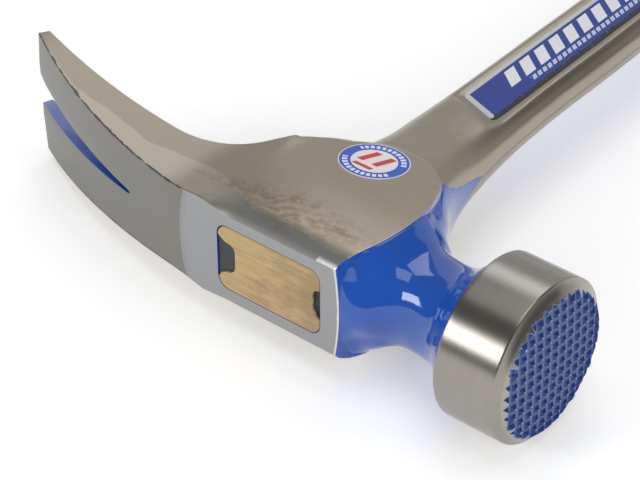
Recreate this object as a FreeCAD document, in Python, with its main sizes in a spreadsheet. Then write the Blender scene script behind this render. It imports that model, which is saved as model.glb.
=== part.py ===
import FreeCAD, Part
import math
import os
import Sketcher

from FreeCAD import Placement, Rotation, Vector

# A one-piece steel framing hammer with a wooden shock plug, a milled face and a rubber grip.
# It lies on its side: +X runs along the head to the striking face, +Y down the handle to the
# butt and +Z out of a cheek. The origin is the middle of the eye on the flat top of the head.

SIZES = {
    # The whole hammer
    "overall_length": 406.0,
    # The head seen from the side
    "flat_front": 16.7,
    "flat_rear": 11.0,
    "cheek_front": 20.1,
    "cheek_rear": 21.3,
    "cheek_drop": 41.5,
    "claw_reach": 82.4,
    "claw_drop": 20.4,
    "claw_tip_thickness": 1.8,
    "claw_root_reach": 38.0,
    "claw_root_depth": 15.6,
    # The head seen from above and from the end
    "head_top_width": 21.2,
    "cheek_width": 25.6,
    "waist_width": 20.4,
    "claw_spread": 29.4,
    "nail_slot_mouth": 8.6,
    "nail_slot_reach": 40.5,
    "nail_slot_end": 0.8,
    # The eye and the wooden plug in it
    "eye_length": 26.0,
    "eye_width": 15.0,
    "eye_depth": 22.0,
    "eye_corner": 2.6,
    "plug_clearance": 0.05,
    "claw_key_length": 4.7,
    "claw_key_width": 7.8,
    "claw_key_corner": 1.5,
    "face_key_length": 1.8,
    "face_key_width": 5.4,
    "face_key_corner": 0.8,
    "key_depth": 5.0,
    "key_sink": 0.3,
    # The neck, the bell and the milled face
    "bell_drop": 13.6,
    "bell_diameter": 33.7,
    "bell_start": 42.4,
    "bell_length": 13.0,
    "bell_edge_round": 1.0,
    "bell_shoulder": 0.3,
    "face_band": 2.85,
    "face_band_length": 2.4,
    "face_crown": 0.5,
    "neck_diameter": 18.0,
    "neck_reach": 29.0,
    "tooth_pitch": 2.4,
    "tooth_rows": 12,
    "tooth_land": 0.4,
    "tooth_depth": 1.3,
    # The shank and the tang inside the grip
    "shank_width": 18.0,
    "shank_thickness": 11.2,
    "shank_bow": 4.5,
    "web_thickness": 8.6,
    "web_width": 12.2,
    "web_start": 62.0,
    "web_corner": 1.5,
    "tang_width": 14.0,
    "tang_thickness": 7.6,
    "tang_length": 176.0,
    # The labels
    "label_thickness": 0.15,
    "label_start": 66.3,
    "label_gap": 54.5,
    "label_width": 11.2,
    "label_slant": 4.0,
    "sticker_diameter": 14.5,
    "sticker_drop": 32.3,
    # The grip
    "grip_length": 190.0,
    "grip_width": 32.4,
    "grip_thickness": 25.4,
    "butt_width": 39.0,
    "butt_thickness": 31.6,
    "grip_end_bevel": 3.0,
    "grip_clearance": 0.2,
    # How far a cut runs past what it cuts
    "overrun": 4.0,
}

# The side of the sections that follow the neck, the shank and the grip: corners and middles
# of eight arcs round a superellipse, as turns from its first axis.
ARC_TURNS = 8
# The flare behind the bell: share of the way along it, and of the growth in radius
FLARE_SHARES = ((0.22, 0.027), (0.485, 0.148), (0.746, 0.497), (1.0, 1.0))
THROAT_RINGS = 7
FLAT_PLANES = {"XY": "XY_Plane", "XZ": "XZ_Plane", "YZ": "YZ_Plane"}


class Size:
    """A length that knows its value and the expression that gives it."""

    def __init__(self, value, text):
        self.value = value
        self.text = text

    def _pair(self, other):
        if isinstance(other, Size):
            return other
        return Size(float(other), repr(float(other)))

    def __add__(self, other):
        other = self._pair(other)
        return Size(self.value + other.value, "(%s + %s)" % (self.text, other.text))

    def __sub__(self, other):
        other = self._pair(other)
        return Size(self.value - other.value, "(%s - %s)" % (self.text, other.text))

    def __mul__(self, other):
        other = self._pair(other)
        return Size(self.value * other.value, "(%s * %s)" % (self.text, other.text))

    def __truediv__(self, other):
        other = self._pair(other)
        return Size(self.value / other.value, "(%s / %s)" % (self.text, other.text))

    def __neg__(self):
        return Size(-self.value, "(0 - %s)" % self.text)

    __radd__ = __add__
    __rmul__ = __mul__


ZERO = Size(0.0, "0")


def make_sheet(doc):
    """Puts the driving dimensions in a spreadsheet, one aliased cell each."""
    sheet = doc.addObject("Spreadsheet::Sheet", "Dims")
    for row, (name, value) in enumerate(SIZES.items(), start=1):
        sheet.set("A%d" % row, name)
        sheet.set("B%d" % row, str(value))
        sheet.setAlias("B%d" % row, name)
    doc.recompute()
    return {name: Size(float(getattr(sheet, name)), "Dims." + name) for name in SIZES}


def new_body(doc, name):
    body = doc.addObject("PartDesign::Body", name)
    body.Label = name
    return body


def origin_part(body, role):
    return [item for item in body.Origin.OriginFeatures if item.Role == role][0]


def new_sketch(body, name, plane, offset=None):
    """A sketch on one of the body's origin planes, or beside it by an offset along its normal."""
    sketch = body.newObject("Sketcher::SketchObject", name)
    sketch.AttachmentSupport = [(origin_part(body, FLAT_PLANES[plane]), "")]
    sketch.MapMode = "FlatFace"
    if offset is not None:
        sketch.AttachmentOffset = Placement(Vector(0, 0, offset.value), Rotation())
        sketch.setExpression("AttachmentOffset.Base.z", offset.text)
    return sketch


def pin_point(sketch, geometry, position, point):
    """Holds a sketch point at two bound distances from the origin."""
    for kind, size in (("DistanceX", point[0]), ("DistanceY", point[1])):
        index = sketch.addConstraint(Sketcher.Constraint(kind, -1, 1, geometry, position, size.value))
        if size.text != "0":
            sketch.setExpression("Constraints[%d]" % index, size.text)


def flat(point):
    return Vector(point[0].value, point[1].value, 0)


def draw_outline(sketch, points, arcs=None):
    """Draws a closed outline through the points. arcs gives a point that an edge bends through."""
    arcs = arcs or {}
    edges = []
    for index, start in enumerate(points):
        end = points[(index + 1) % len(points)]
        if index in arcs:
            shape = Part.Arc(flat(start), flat(arcs[index]), flat(end))
            edge = sketch.addGeometry(shape, False)
            mark = sketch.addGeometry(Part.Point(flat(arcs[index])), True)
            pin_point(sketch, mark, 1, arcs[index])
            sketch.addConstraint(Sketcher.Constraint("PointOnObject", mark, 1, edge))
        else:
            edge = sketch.addGeometry(Part.LineSegment(flat(start), flat(end)), False)
        edges.append((edge, start, end))
    ends = [arc_ends(sketch, edge, start) for edge, start, _ in edges]
    for index, (edge, start, _) in enumerate(edges):
        pin_point(sketch, edge, ends[index][0], start)
        after = (index + 1) % len(edges)
        joint = Sketcher.Constraint("Coincident", edge, ends[index][1], edges[after][0], ends[after][0])
        sketch.addConstraint(joint)


def arc_ends(sketch, edge, start):
    """Which end of an edge is its start: an arc always runs the same way round."""
    first = sketch.getPoint(edge, 1)
    second = sketch.getPoint(edge, 2)
    if (first - flat(start)).Length <= (second - flat(start)).Length:
        return 1, 2
    return 2, 1


def mirrored(points, arcs):
    """Adds the mirror image across the sketch's first axis to half an outline."""
    count = len(points)
    both = list(points) + [(x, -y) for x, y in reversed(points)]
    bends = dict(arcs)
    for index, (x, y) in arcs.items():
        bends[2 * count - 2 - index] = (x, -y)
    return both, bends


def draw_frame(sketch, points, arcs, low, high):
    """A box with the outline as a hole in it, so that a pocket trims all outside the outline."""
    draw_outline(sketch, points, arcs)
    box = [(low[0], low[1]), (high[0], low[1]), (high[0], high[1]), (low[0], high[1])]
    draw_outline(sketch, box)


def pad(body, name, sketch, length, symmetric=False, reverse=False):
    feature = body.newObject("PartDesign::Pad", name)
    feature.Profile = sketch
    feature.SideType = "Symmetric" if symmetric else "One side"
    feature.Reversed = reverse
    feature.setExpression("Length", length.text)
    return feature


def pocket(body, name, sketch, length=None, reverse=False):
    """A cut of a stated depth, or right through both ways where no depth is given."""
    feature = body.newObject("PartDesign::Pocket", name)
    feature.Profile = sketch
    feature.Reversed = reverse
    if length is None:
        feature.Type = "ThroughAll"
        feature.SideType = "Symmetric"
    else:
        feature.setExpression("Length", length.text)
    return feature


def superellipse(turn, power):
    """The point of a unit superellipse at a turn, as two shares of its half axes."""
    angle = 2 * math.pi * turn
    root = 2.0 / power
    across = math.copysign(abs(math.cos(angle)) ** root, math.cos(angle))
    up = math.copysign(abs(math.sin(angle)) ** root, math.sin(angle))
    return round(across, 4), round(up, 4)


def ring_sketch(body, name, plane, offset, centre, half_across, half_up, power):
    """A closed section of eight arcs: round at a power of two and squarer above it."""
    sketch = new_sketch(body, name, plane, offset)
    points = []
    arcs = {}
    for index in range(ARC_TURNS):
        corner = superellipse((index + 0.5) / ARC_TURNS, power)
        middle = superellipse((index + 1.0) / ARC_TURNS, power)
        points.append((centre + half_across * corner[0], half_up * corner[1]))
        arcs[index] = (centre + half_across * middle[0], half_up * middle[1])
    draw_outline(sketch, points, arcs)
    return sketch


def loft(body, name, sketches, kind="PartDesign::AdditiveLoft", ruled=False):
    feature = body.newObject(kind, name)
    feature.Profile = sketches[0]
    feature.Sections = sketches[1:]
    feature.Ruled = ruled
    return feature


def stations(body, name, plane, rows, sign=1):
    """One ring sketch for each row of station, low side, high side, half thickness and power."""
    rings = []
    for number, (station, low, high, half, power) in enumerate(rows, start=1):
        centre = (low + high) * 0.5
        reach = (high - low) * 0.5
        label = "%s_%d" % (name, number)
        rings.append(ring_sketch(body, label, plane, station * sign, centre, reach, half, power))
    return rings


def butt_place(dim):
    """How far down the handle the butt ends, the bell standing proud of the head's top."""
    return dim["overall_length"] - (dim["bell_diameter"] * 0.5 - dim["bell_drop"])


def grip_place(dim):
    return butt_place(dim) - dim["grip_length"]


# Where the middle of the handle lies, as a share of the way down to the butt and of the bow
BOW_SHARES = (
    (0.0, 0.0), (0.12, -0.08), (0.165, -0.24), (0.21, -0.38), (0.27, -0.52), (0.37, -0.78),
    (0.51, -0.97), (0.62, -1.0), (0.75, -0.86), (0.88, -0.5), (1.0, -0.1),
)


def bow_at(dim, place):
    """The sideways place of the handle's middle at a distance down the handle."""
    share = place.value / butt_place(dim).value
    for (low, low_bow), (high, high_bow) in zip(BOW_SHARES, BOW_SHARES[1:]):
        if share <= high:
            break
    mix = (share - low) / (high - low)
    return dim["shank_bow"] * round(low_bow + mix * (high_bow - low_bow), 4)


def head_outline(dim):
    """The head from the side: top flat, bulged cheek front, round cheek foot and curved claw."""
    tip = dim["claw_drop"]
    reach = dim["claw_reach"]
    drop = dim["cheek_drop"]
    front = dim["cheek_front"]
    rear = dim["cheek_rear"]
    root = (-dim["claw_root_reach"], dim["claw_root_depth"])
    inner_tip = (-(reach - dim["claw_tip_thickness"] * 0.5), tip + dim["claw_tip_thickness"])
    points = [
        (dim["flat_front"], ZERO),
        (front * 0.68, drop * 0.88),
        (-rear * 0.4, drop * 0.885),
        (-rear * 0.76, drop * 0.735),
        (-rear, drop * 0.555),
        root,
        inner_tip,
        (-reach, tip),
        (-dim["flat_rear"], ZERO),
    ]
    arcs = {
        0: (front, dim["bell_drop"]),
        1: (front * 0.12, drop),
        2: (-rear * 0.6, drop * 0.825),
        4: (-(rear * 0.5 + dim["claw_root_reach"] * 0.48), drop * 0.11 + root[1] * 0.81),
        5: (-(reach * 0.5 + dim["claw_root_reach"] * 0.5), root[1] * 0.86 + tip * 0.21),
        7: (-(reach * 0.618), tip * 0.33),
    }
    return points, arcs


def plan_outline(dim):
    """Half the head from above: spread claw tips, narrow waist and swollen cheeks."""
    spread = dim["claw_spread"] * 0.5
    waist = dim["waist_width"] * 0.5
    cheek = dim["cheek_width"] * 0.5
    reach = dim["claw_reach"]
    past = dim["overrun"]
    points = [
        (-reach, spread * 0.45),
        (-(reach - dim["claw_tip_thickness"]), spread),
        (-(dim["cheek_rear"] * 1.12), waist),
        (ZERO, cheek),
        (dim["cheek_front"] + past, cheek * 0.985),
    ]
    arcs = {
        1: (-(reach * 0.63), spread * 0.36 + waist * 0.64),
        2: (-(dim["cheek_rear"] * 0.56), cheek * 0.65 + waist * 0.35),
    }
    return points, arcs


def end_outline(dim):
    """Half the cheeks from the end: rolled out from the top flat, then thinning to the shank."""
    top = dim["head_top_width"] * 0.5
    cheek = dim["cheek_width"] * 0.5
    drop = dim["cheek_drop"]
    past = dim["overrun"]
    crest = drop * 0.2
    lean_start = drop * 0.48
    lean = cheek_lean()
    fall = (lean_start - crest) * (lean * 0.5)
    foot = cheek - fall - (drop + past - lean_start) * lean
    points = [
        (-past, top),
        (ZERO, top),
        (crest, cheek),
        (lean_start, cheek - fall),
        (drop + past, foot),
    ]
    arcs = {
        1: (crest * 0.4, cheek - (cheek - top) * 0.26),
        2: ((crest + lean_start) * 0.5, cheek - fall * 0.25),
    }
    return points, arcs


def cheek_lean():
    """How much each cheek closes in for each millimetre down the handle."""
    return 0.1375


def cheek_height(dim, place):
    """How far out the flat of the cheek is at a place down the handle."""
    drop = dim["cheek_drop"]
    crest = drop * 0.2
    lean_start = drop * 0.48
    fall = (lean_start - crest) * (cheek_lean() * 0.5)
    return dim["cheek_width"] * 0.5 - fall - (place - lean_start) * cheek_lean()


def add_head_block(body, dim):
    """The eye block, cheeks and claw, padded from the side and trimmed from above and the end."""
    past = dim["overrun"]
    side = new_sketch(body, "head_side", "XY")
    draw_outline(side, *head_outline(dim))
    pad(body, "head_pad", side, dim["claw_spread"] + past, symmetric=True)

    plan = new_sketch(body, "head_plan", "XZ")
    points, arcs = mirrored(*plan_outline(dim))
    low = (-(dim["claw_reach"] + past), -(dim["claw_spread"] + past))
    high = (dim["cheek_front"] + past * 2, dim["claw_spread"] + past)
    draw_frame(plan, points, arcs, low, high)
    pocket(body, "plan_trim", plan)

    end = new_sketch(body, "head_end", "YZ", -(dim["cheek_rear"] * 1.12))
    points, arcs = mirrored(*end_outline(dim))
    low = (-(past * 2), -(dim["claw_spread"] + past))
    high = (dim["cheek_drop"] + past * 2, dim["claw_spread"] + past)
    draw_frame(end, points, arcs, low, high)
    pocket(body, "end_trim", end, dim["cheek_front"] + dim["claw_reach"], reverse=True)


def add_neck(body, dim):
    """The neck: square where it leaves the cheeks, then round and flared to the bell's back."""
    axis = dim["bell_drop"]
    radius = dim["neck_diameter"] * 0.5
    cheek = dim["cheek_width"] * 0.5
    drop = dim["cheek_drop"]
    start = dim["flat_front"]
    gap = dim["neck_reach"] - start
    rows = [
        (start - gap * 0.3, axis * 0.09, drop * 0.72, cheek * 0.8, 5.0),
        (start + gap * 0.17, axis * 0.05, drop * 0.72, cheek * 0.87, 4.4),
        (start + gap * 0.45, axis * 0.15, drop * 0.64, cheek * 0.81, 3.4),
        (start + gap * 0.72, axis - radius * 1.08, axis + radius * 1.12, radius * 1.06, 2.4),
        (dim["neck_reach"], axis - radius, axis + radius, radius, 2.0),
    ]
    flare = dim["bell_start"] - dim["neck_reach"]
    growth = back_radius(dim) - dim["bell_shoulder"] - radius
    for reach_share, growth_share in FLARE_SHARES:
        reach = radius + growth * growth_share
        rows.append((dim["neck_reach"] + flare * reach_share, axis - reach, axis + reach, reach, 2.0))
    loft(body, "neck", stations(body, "neck_ring", "YZ", rows))


def back_radius(dim):
    """The radius of the bell's back, inside its rounded corner."""
    return (dim["bell_diameter"] - dim["bell_edge_round"] * 0.8) * 0.5


def add_bell(body, dim):
    """The round bell, chamfered band and crowned face, turned about the head's axis."""
    axis = dim["bell_drop"]
    bell = dim["bell_diameter"] * 0.5
    back = dim["bell_start"]
    front = back + dim["bell_length"]
    corner = dim["bell_edge_round"]
    face = bell - dim["face_band"]
    rim = front + dim["face_band_length"]
    crown = rim + dim["face_crown"]
    slope = dim["face_band_length"] / dim["face_band"]
    points = [
        (back, axis),
        (crown, axis),
        (rim, axis + face),
        (front + corner * slope * 0.7, axis + bell - corner * 0.7),
        (front - corner, axis + bell),
        (back + corner * 0.4, axis + bell),
        (back, axis + back_radius(dim)),
    ]
    arcs = {
        1: (crown - dim["face_crown"] * 0.25, axis + face * 0.5),
        3: (front - corner * 0.1, axis + bell - corner * 0.2),
    }
    profile = new_sketch(body, "bell_profile", "XY")
    draw_outline(profile, points, arcs)
    turn = body.newObject("PartDesign::Revolution", "bell")
    turn.Profile = profile
    turn.ReferenceAxis = (profile, ["Edge1"])


# Down the shank: share of the cheek's drop, of the width to rear and front, of the half
# thickness, and how square the oval is
SHANK_SHARES = (
    (1.14, 0.525, 0.686, 1.36, 3.0), (1.33, 0.548, 0.629, 1.16, 2.8), (1.6, 0.543, 0.577, 1.03, 2.7),
    (1.95, 0.541, 0.546, 1.0, 2.6), (2.6, 0.543, 0.546, 1.0, 2.6), (3.6, 0.522, 0.534, 1.0, 2.6),
)


def add_shank(body, dim):
    """The throat under the neck, then the oval shank down to the grip."""
    width = dim["shank_width"]
    half = dim["shank_thickness"] * 0.5
    drop = dim["cheek_drop"]
    axis = dim["bell_drop"]
    neck = dim["neck_diameter"] * 0.5
    front = dim["cheek_front"]
    rear = dim["cheek_rear"]
    foot = cheek_height(dim, drop)
    under = axis + neck
    rows = [
        (axis + neck * 0.45, -rear * 0.72, front * 1.66, foot * 0.82, 4.0),
        (under + drop * 0.005, -rear * 0.7, front * 1.4, foot * 0.95, 4.0),
        (under + drop * 0.1, -rear * 0.62, front * 1.15, foot * 1.04, 4.4),
        (drop * 0.755, -rear * 0.54, front * 0.975, foot * 1.08, 4.4),
        (drop * 0.87, -rear * 0.49, front * 0.81, foot * 1.04, 3.8),
        (drop * 0.99, -rear * 0.465, front * 0.69, foot * 0.96, 3.3),
    ]
    for place_share, low_share, high_share, half_share, power in SHANK_SHARES:
        place = drop * place_share
        bow = bow_at(dim, place)
        rows.append((place, bow - width * low_share, bow + width * high_share, half * half_share, power))
    place = grip_place(dim) + dim["overrun"]
    bow = bow_at(dim, place)
    rows.append((place, bow - width * 0.495, bow + width * 0.505, half * 0.98, 2.6))
    rings = stations(body, "shank_ring", "XZ", rows, -1)
    loft(body, "throat", rings[:THROAT_RINGS])
    loft(body, "shank", rings[THROAT_RINGS - 1:])


def tang_rows(dim, spare):
    """The tang's two ends, or those of the hole round it with some room to spare."""
    rows = []
    top = grip_place(dim)
    for place, share in ((top, 1.0), (top + dim["tang_length"], 0.8)):
        bow = bow_at(dim, place)
        reach = dim["tang_width"] * (0.5 * share) + spare
        rows.append((place, bow - reach, bow + reach, dim["tang_thickness"] * (0.5 * share) + spare, 2.6))
    return rows


def add_tang(body, dim):
    loft(body, "tang", stations(body, "tang_ring", "XZ", tang_rows(dim, ZERO), -1))


def cut_nail_slot(body, dim):
    """The tapering slot between the claws."""
    mouth = dim["nail_slot_mouth"] * 0.5
    end = dim["nail_slot_end"] * 0.5
    reach = dim["claw_reach"]
    root = dim["nail_slot_reach"]
    past = dim["overrun"]
    throat = root * 0.16 + reach * 0.84
    half = [
        (-(reach + past), mouth * 1.6),
        (-(reach - dim["claw_tip_thickness"] * 0.4), mouth),
        (-throat, mouth * 0.68),
        (-root, end),
    ]
    points, arcs = mirrored(half, {1: (-((reach + throat) * 0.5), mouth * 0.77)})
    arcs[3] = (-(root - end), ZERO)
    sketch = new_sketch(body, "nail_slot_plan", "XZ")
    draw_outline(sketch, points, arcs)
    pocket(body, "nail_slot", sketch)


def rounded_block(low, high, corner):
    """A rectangle with round corners, as an outline."""
    bend = corner * 0.2929
    points = [
        (low[0] + corner, low[1]), (high[0] - corner, low[1]), (high[0], low[1] + corner),
        (high[0], high[1] - corner), (high[0] - corner, high[1]), (low[0] + corner, high[1]),
        (low[0], high[1] - corner), (low[0], low[1] + corner),
    ]
    arcs = {
        1: (high[0] - bend, low[1] + bend),
        3: (high[0] - bend, high[1] - bend),
        5: (low[0] + bend, high[1] - bend),
        7: (low[0] + bend, low[1] + bend),
    }
    return points, arcs


def cut_eye(body, dim):
    """The blind eye in the top of the head."""
    long = dim["eye_length"] * 0.5
    wide = dim["eye_width"] * 0.5
    sketch = new_sketch(body, "eye_plan", "XZ")
    draw_outline(sketch, *rounded_block((-long, -wide), (long, wide), dim["eye_corner"]))
    pocket(body, "eye", sketch, dim["eye_depth"])


def web_outline(dim, inset, start, end, slant):
    """A strip that follows the bow of the shank between two places."""
    half = dim["web_width"] * 0.5 - inset
    middle = (start + end) * 0.5
    points = [
        (bow_at(dim, start) - half, start + slant), (bow_at(dim, start) + half, start),
        (bow_at(dim, end) + half, end), (bow_at(dim, end) - half, end),
    ]
    arcs = {1: (bow_at(dim, middle) + half, middle), 3: (bow_at(dim, middle) - half, middle)}
    return points, arcs


def cut_webs(body, dim):
    """The shallow recess along each side of the shank, which leaves a flange front and rear."""
    end = grip_place(dim) + dim["overrun"]
    for side, sign in (("upper", 1), ("lower", -1)):
        sketch = new_sketch(body, side + "_web_plan", "XY", dim["web_thickness"] * (0.5 * sign))
        draw_outline(sketch, *web_outline(dim, ZERO, dim["web_start"], end, dim["label_slant"]))
        pocket(body, side + "_web", sketch, dim["shank_thickness"], reverse=sign > 0)


def mill_face(body, dim):
    """Two crossed sets of grooves, which leave the rows of blunt pyramid teeth."""
    crown = dim["bell_start"] + dim["bell_length"] + dim["face_band_length"] + dim["face_crown"]
    floor_x = crown - dim["tooth_depth"]
    half = (dim["tooth_pitch"] - dim["tooth_land"]) * 0.5
    flare = half / dim["tooth_depth"]
    reach = dim["tooth_depth"] + dim["overrun"]
    first = (dim["tooth_rows"] - 1) * (dim["tooth_pitch"] * 0.5)
    for name, plane, middle, axis in (
        ("rows_down", "XZ", ZERO, "Z_Axis"),
        ("rows_across", "XY", dim["bell_drop"], "Y_Axis"),
    ):
        bottom = middle - first
        points = [
            (floor_x, bottom),
            (floor_x + reach, bottom - flare * reach),
            (floor_x + reach, bottom + flare * reach),
        ]
        sketch = new_sketch(body, name + "_plan", plane)
        draw_outline(sketch, points)
        groove = pocket(body, name + "_groove", sketch)
        rows = body.newObject("PartDesign::LinearPattern", name)
        rows.Originals = [groove]
        rows.Direction = (origin_part(body, axis), [""])
        rows.Mode = "Spacing"
        rows.setExpression("Offset", dim["tooth_pitch"].text)
        rows.setExpression("Occurrences", dim["tooth_rows"].text)
        body.Tip = rows


def make_forging(doc, dim):
    """Head, shank and tang, which are one steel forging."""
    body = new_body(doc, "hammer_forging")
    add_head_block(body, dim)
    add_neck(body, dim)
    add_bell(body, dim)
    add_shank(body, dim)
    add_tang(body, dim)
    cut_nail_slot(body, dim)
    cut_eye(body, dim)
    cut_webs(body, dim)
    mill_face(body, dim)
    return body


def key_outline(dim, end, spare):
    """The black resin key at one end of the plug, let into the wood."""
    sign = -1 if end == "claw" else 1
    length = dim[end + "_key_length"] + spare
    half = dim[end + "_key_width"] * 0.5 + spare
    outer = (dim["eye_length"] * 0.5 - dim["plug_clearance"]) * sign
    inner = outer - length * sign
    low = (outer, -half) if sign < 0 else (inner, -half)
    high = (inner, half) if sign < 0 else (outer, half)
    return low, high, dim[end + "_key_corner"]


def make_plug(doc, dim):
    """The hickory plug, with a pocket at each end for its resin key."""
    body = new_body(doc, "wood_plug")
    long = dim["eye_length"] * 0.5 - dim["plug_clearance"]
    wide = dim["eye_width"] * 0.5 - dim["plug_clearance"]
    corner = dim["eye_corner"] - dim["plug_clearance"]
    sketch = new_sketch(body, "plug_plan", "XZ")
    draw_outline(sketch, *rounded_block((-long, -wide), (long, wide), corner))
    pad(body, "plug", sketch, dim["eye_depth"] - dim["plug_clearance"], reverse=True)
    for end in ("claw", "face"):
        low, high, corner = key_outline(dim, end, dim["plug_clearance"])
        hole = new_sketch(body, end + "_key_plan", "XZ")
        draw_outline(hole, *rounded_block(low, high, corner))
        pocket(body, end + "_key_seat", hole, dim["key_depth"])
    return body


def make_key(doc, dim, end):
    """One resin key, a little below the top of the head."""
    body = new_body(doc, "resin_key_%s_end" % end)
    sketch = new_sketch(body, "key_plan", "XZ", -dim["key_sink"])
    low, high, corner = key_outline(dim, end, ZERO)
    draw_outline(sketch, *rounded_block(low, high, corner))
    pad(body, "key", sketch, dim["key_depth"] - dim["key_sink"], reverse=True)
    return body


def make_label(doc, dim):
    """The printed strip in the upper recess of the shank, its first end cut on a slant."""
    body = new_body(doc, "shank_label")
    sketch = new_sketch(body, "label_plan", "XY", dim["web_thickness"] * 0.5)
    start = dim["label_start"]
    end = grip_place(dim) - dim["label_gap"]
    inset = (dim["web_width"] - dim["label_width"]) * 0.5
    draw_outline(sketch, *web_outline(dim, inset, start, end, dim["label_slant"]))
    pad(body, "label", sketch, dim["label_thickness"])
    return body


def make_sticker(doc, dim):
    """The round paper sticker on the flat of the upper cheek."""
    disc = doc.addObject("Part::Cylinder", "head_sticker")
    disc.Label = "head_sticker"
    place = dim["sticker_drop"]
    height = cheek_height(dim, place)
    disc.setExpression("Radius", (dim["sticker_diameter"] * 0.5).text)
    disc.setExpression("Height", dim["label_thickness"].text)
    lean = math.degrees(math.atan(cheek_lean()))
    disc.Placement = Placement(Vector(0, place.value, height.value), Rotation(Vector(1, 0, 0), -lean))
    disc.setExpression("Placement.Base.y", place.text)
    disc.setExpression("Placement.Base.z", height.text)
    return disc


# The grip's evenly spaced stations from collar to butt: shares of its width and thickness
GRIP_SHARES = (
    (0.81, 0.8), (0.78, 0.78), (0.85, 0.86), (0.94, 0.95), (1.0, 1.0), (0.985, 1.0), (0.92, 0.95),
    (1.0, 1.04),
)
END_SHARE = 0.86


def make_grip(doc, dim):
    """The rubber grip: collar, palm swell and flared butt, hollow for the tang."""
    body = new_body(doc, "grip")
    top = grip_place(dim)
    butt = butt_place(dim)
    rim = dim["grip_end_bevel"]
    length = dim["grip_length"] - rim * 2
    sizes = [(dim["grip_width"] * wide, dim["grip_thickness"] * thick) for wide, thick in GRIP_SHARES]
    sizes.append((dim["butt_width"], dim["butt_thickness"]))
    spots = [(top + rim + length * (number / len(GRIP_SHARES)), size) for number, size in enumerate(sizes)]
    spots.insert(0, (top, [side * END_SHARE for side in sizes[0]]))
    spots.append((butt, [side * END_SHARE for side in sizes[-1]]))
    rows = []
    for place, (wide, thick) in spots:
        bow = bow_at(dim, place)
        rows.append((place, bow - wide * 0.5, bow + wide * 0.5, thick * 0.5, 2.5))
    rings = stations(body, "grip_ring", "XZ", rows, -1)
    loft(body, "collar_bevel", rings[:2])
    loft(body, "grip_shell", rings[1:-1])
    loft(body, "butt_bevel", rings[-2:])
    bore = stations(body, "bore_ring", "XZ", tang_rows(dim, dim["grip_clearance"]), -1)
    loft(body, "tang_bore", bore, "PartDesign::SubtractiveLoft")
    return body


def check_document(doc, pieces):
    """Stops if any object failed or any piece has no sound solid."""
    for item in doc.Objects:
        if "Invalid" in item.State or "Error" in item.State:
            raise RuntimeError("%s failed: %s" % (item.Name, item.State))
    for piece in pieces:
        shape = piece.Shape
        if shape.isNull() or not shape.isValid() or not shape.Solids:
            raise RuntimeError("%s has no valid solid" % piece.Label)


def main():
    doc = FreeCAD.newDocument("framing_hammer")
    dim = make_sheet(doc)
    pieces = [
        make_forging(doc, dim),
        make_plug(doc, dim),
        make_key(doc, dim, "claw"),
        make_key(doc, dim, "face"),
        make_label(doc, dim),
        make_sticker(doc, dim),
        make_grip(doc, dim),
    ]
    doc.recompute()
    check_document(doc, pieces)
    os.makedirs("parts", exist_ok=True)
    for piece in pieces:
        piece.Shape.exportStep("parts/%s.step" % piece.Label)
        box = piece.Shape.BoundBox
        print("%-22s solids %d  volume %.0f  box %.1f %.1f %.1f to %.1f %.1f %.1f" % (
            piece.Label, len(piece.Shape.Solids), piece.Shape.Volume,
            box.XMin, box.YMin, box.ZMin, box.XMax, box.YMax, box.ZMax))


main()
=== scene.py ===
import math

import bmesh
import bpy
import numpy as np
from bpy.props import FloatProperty, FloatVectorProperty, PointerProperty
from mathutils import Matrix, Vector


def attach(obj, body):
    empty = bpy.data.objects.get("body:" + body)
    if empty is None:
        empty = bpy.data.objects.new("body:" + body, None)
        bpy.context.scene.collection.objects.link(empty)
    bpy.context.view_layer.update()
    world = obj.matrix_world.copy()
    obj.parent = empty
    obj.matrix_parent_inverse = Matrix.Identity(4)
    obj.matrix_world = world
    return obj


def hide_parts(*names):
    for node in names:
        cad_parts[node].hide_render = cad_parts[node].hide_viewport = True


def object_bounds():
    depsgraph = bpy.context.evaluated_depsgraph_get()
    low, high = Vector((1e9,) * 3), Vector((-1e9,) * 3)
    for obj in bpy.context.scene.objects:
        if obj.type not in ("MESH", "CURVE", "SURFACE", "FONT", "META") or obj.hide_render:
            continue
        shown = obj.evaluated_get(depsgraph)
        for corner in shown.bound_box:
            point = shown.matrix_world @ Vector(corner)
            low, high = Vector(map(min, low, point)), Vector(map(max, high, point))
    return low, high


bl_info = {
    "name": "Framing hammer",
    "version": (1, 0, 0),
    "blender": (4, 5, 0),
    "location": "View3D > Sidebar > Hammer",
    "description": "Dresses the CAD model of a steel framing hammer for a studio picture",
    "category": "Object",
}

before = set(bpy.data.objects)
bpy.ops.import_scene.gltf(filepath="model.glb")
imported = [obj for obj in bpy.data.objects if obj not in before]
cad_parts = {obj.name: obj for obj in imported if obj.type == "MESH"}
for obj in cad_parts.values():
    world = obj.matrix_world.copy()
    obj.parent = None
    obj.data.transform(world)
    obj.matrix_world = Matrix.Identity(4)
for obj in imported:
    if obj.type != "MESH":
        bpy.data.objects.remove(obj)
CAD_BOX = [list(corner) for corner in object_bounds()]
MM = 0.001

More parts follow.
